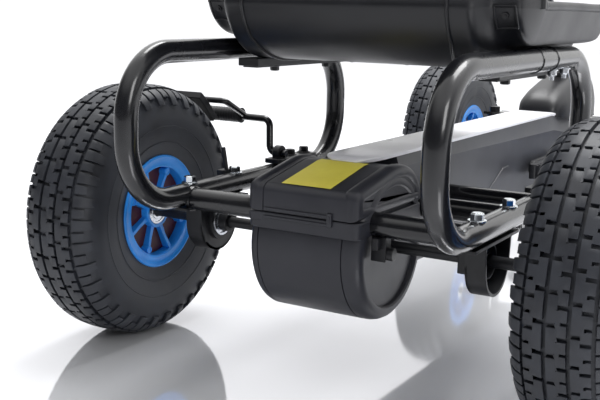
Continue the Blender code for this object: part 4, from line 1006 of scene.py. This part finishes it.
LEAN = Vector((0, -0.694658, 0.71934))
FOOT = at(0, 0.7737, 0.1814)
hub_centre = FOOT + LEAN * 0.4563
tilt = along(FOOT, hub_centre)
column = bmesh.new()
pipe(column, [FOOT + LEAN * s for s in (0.0, 0.2, 0.434)], 0.0080, 28)
for s, radius in ((0.045, 0.0125), (0.133, 0.0125)):
    pipe(column, [FOOT + LEAN * (s - 0.002), FOOT + LEAN * (s + 0.002)], radius, 28)
piece("steering_shaft", column, PAINT, "steering")
wheel_ring = bmesh.new()
around_wheel = []
for k in range(96):
    angle = math.tau * k / 96
    around_wheel.append(hub_centre + tilt.to_3x3() @ Vector((0.118 * math.cos(angle), 0.118 * math.sin(angle), 0.002)))
grips = [0.0106 + 0.0004 * math.cos(math.tau * k / 4) for k in range(96)]
pipe(wheel_ring, around_wheel, grips, 20, looped=True)
piece("steering_rim", wheel_ring, GRIP_RUBBER, "steering", ("steering_wheel",), sharp=60)
spokes = bmesh.new()
for k in range(3):
    angle = math.radians(90 + 120 * k)
    rows = []
    for r, half, drop in ((0.012, 0.016, -0.010), (0.045, 0.0125, -0.006), (0.080, 0.0115, -0.001), (0.110, 0.013, 0.001)):
        out, side_way = Vector((math.cos(angle), math.sin(angle), 0)), Vector((-math.sin(angle), math.cos(angle), 0))
        ends = [out * r + side_way * s * half + Vector((0, 0, drop + t)) for s, t in ((-1, -0.003), (1, -0.003), (1, 0.003), (-1, 0.003))]
        rows.append([hub_centre + tilt.to_3x3() @ p for p in ends])
    loft(spokes, rows)
pipe(spokes, [hub_centre + LEAN * s for s in (-0.022, -0.018, -0.002, 0.003)], [0.022, 0.029, 0.029, 0.024], 40)
piece("steering_spokes", spokes, PEDAL, "steering", bevel=0.0012)

cowl = bmesh.new()
rows = []
for y, top, half in (
    (0.5780, 0.2120, 0.0200),
    (0.5830, 0.2230, 0.0270),
    (0.5950, 0.2330, 0.0310),
    (0.6200, 0.2420, 0.0340),
    (0.6600, 0.2520, 0.0360),
    (0.7000, 0.2600, 0.0370),
    (0.7300, 0.2630, 0.0370),
    (0.7550, 0.2600, 0.0350),
    (0.7750, 0.2480, 0.0310),
    (0.7900, 0.2260, 0.0240),
):
    low = min(0.2050, spine_top(min(y, 0.66)) - 0.002)
    row = [at(half * 1.04, y, low)]
    for k in range(25):
        angle = math.pi * k / 24
        c, s = math.cos(angle), math.sin(angle)
        row.append(at(half * math.copysign(abs(c) ** 0.7, c), y, low + (top - low) * s**0.6))
    rows.append(row + [at(-half * 1.04, y, low)])
loft(cowl, rows)
piece("front_cowl", cowl, SEAT, "frame", sharp=60, bevel=0.0015)

# Front bumper: two legs and a bow

low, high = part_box("front_bumper")
front, wide = high[1] - TUBE_RADIUS, 0.160
bow = bmesh.new()
route = [
    Vector((-0.050, low[1] + 0.002, 0.150)),
    at(-0.050, 0.945, 0.150),
    at(-wide, 0.995, 0.150),
    Vector((-wide, front, 0.150)),
    Vector((wide, front, 0.150)),
    at(wide, 0.995, 0.150),
    at(0.050, 0.945, 0.150),
    Vector((0.050, low[1] + 0.002, 0.150)),
]
pipe(bow, bend(route, 0.028, 10), TUBE_RADIUS, 28)
piece("bumper_bow", bow, PAINT, "frame", ("front_bumper",))


# The pieces of the frame that stay as they are take the same finishes.
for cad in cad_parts.values():
    for slot in cad.material_slots:
        name = slot.material.name.split(".")[0] if slot.material else ""
        slot.material = DARK_STEEL if cad.name == "rear_axle" else SLOTS.get(name, DARK_STEEL)


# Floor, backdrop, lights and camera


def stage_material(name, fac, rough):
    """A white floor that mixes its own shade with a soft mirror."""
    made = bpy.data.materials.new(name)
    made.use_nodes = True
    tree = made.node_tree
    place = add(tree, "TexCoord").outputs["Object"]
    drift = add(tree, "TexNoise", Vector=place, Scale=3.0, Detail=2.0)
    gloss = add(tree, "MapRange", Value=drift.outputs["Fac"], To_Min=rough * 0.9, To_Max=rough * 1.1)
    matt = add(tree, "BsdfDiffuse", Color=(0.9, 0.91, 0.94, 1))
    mirror = add(tree, "BsdfGlossy", Color=(0.97, 0.97, 1.0, 1), Roughness=gloss.outputs["Result"])
    mix = add(tree, "MixShader", Fac=fac)
    tree.links.new(matt.outputs[0], mix.inputs[1])
    tree.links.new(mirror.outputs[0], mix.inputs[2])
    tree.links.new(mix.outputs[0], tree.nodes["Material Output"].inputs["Surface"])
    return made


def stage_plane(name, corners, finish):
    bm = bmesh.new()
    bm.faces.new([bm.verts.new(p) for p in corners])
    mesh = bpy.data.meshes.new(name)
    bm.to_mesh(mesh)
    bm.free()
    mesh.materials.append(finish)
    obj = bpy.data.objects.new(name, mesh)
    bpy.context.collection.objects.link(obj)
    obj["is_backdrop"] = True
    return obj


stage_plane("floor", [(-12, -6, 0), (12, -6, 0), (12, 9, 0), (-12, 9, 0)], stage_material("white_floor", 0.5, 0.06))

world = bpy.data.worlds.new("studio")
bpy.context.scene.world = world
world.use_nodes = True
sky = world.node_tree
view = add(sky, "LightPath")
way = add(sky, "TexCoord").outputs["Generated"]
height = add(sky, "SeparateXYZ", Vector=way)
behind = add(sky, "MapRange", Value=height.outputs["Y"], From_Min=-0.1, From_Max=0.5, To_Min=0.10, To_Max=1.15)
above = add(sky, "MapRange", Value=height.outputs["Z"], From_Min=0.45, From_Max=0.8, To_Min=0.0, To_Max=0.9)
around = add(sky, "Math", {"operation": "ADD"})
sky.links.new(behind.outputs["Result"], around.inputs[0])
sky.links.new(above.outputs["Result"], around.inputs[1])
seen = add(sky, "MixRGB", Fac=view.outputs["Is Camera Ray"], Color1=around.outputs[0], Color2=(1.1, 1.1, 1.12, 1))
background = sky.nodes["Background"]
sky.links.new(seen.outputs["Color"], background.inputs["Color"])
background.inputs["Strength"].default_value = 1.0


def softbox(name, where, towards, width, tall, power):
    light = bpy.data.lights.new(name, "AREA")
    light.shape = "RECTANGLE"
    light.size = width
    light.size_y = tall
    light.energy = power
    obj = bpy.data.objects.new(name, light)
    bpy.context.collection.objects.link(obj)
    turn = (Vector(towards) - Vector(where)).to_track_quat("-Z", "Y").to_matrix().to_4x4()
    obj.matrix_world = Matrix.Translation(where) @ turn


softbox("top_light", (0.1, 0.5, 2.5), (0.05, -0.1, 0.1), 2.4, 1.6, 95)
softbox("side_light", (2.3, -1.6, 1.5), (0.1, -0.3, 0.15), 0.9, 1.4, 26)

camera = bpy.data.objects.new("camera", bpy.data.cameras.new("camera"))
bpy.context.collection.objects.link(camera)
camera.data.lens = 60.5
camera.data.sensor_width = 36
camera.data.clip_start = 0.05
YAW, PITCH_DOWN, ROLL = 0.5332, -0.1888, 0.023
ahead_way = Vector((-math.sin(YAW) * math.cos(PITCH_DOWN), math.cos(YAW) * math.cos(PITCH_DOWN), math.sin(PITCH_DOWN)))
level = Vector((math.cos(YAW), math.sin(YAW), 0))
upright = level.cross(ahead_way)
right = level * math.cos(ROLL) + upright * math.sin(ROLL)
above_way = upright * math.cos(ROLL) - level * math.sin(ROLL)
turn = Matrix((right, above_way, -ahead_way)).transposed().to_4x4()
camera.matrix_world = Matrix.Translation((0.4414, -1.2863, 0.3463)) @ turn
bpy.context.scene.camera = camera
bpy.context.scene.view_settings.view_transform = "Standard"

low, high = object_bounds()
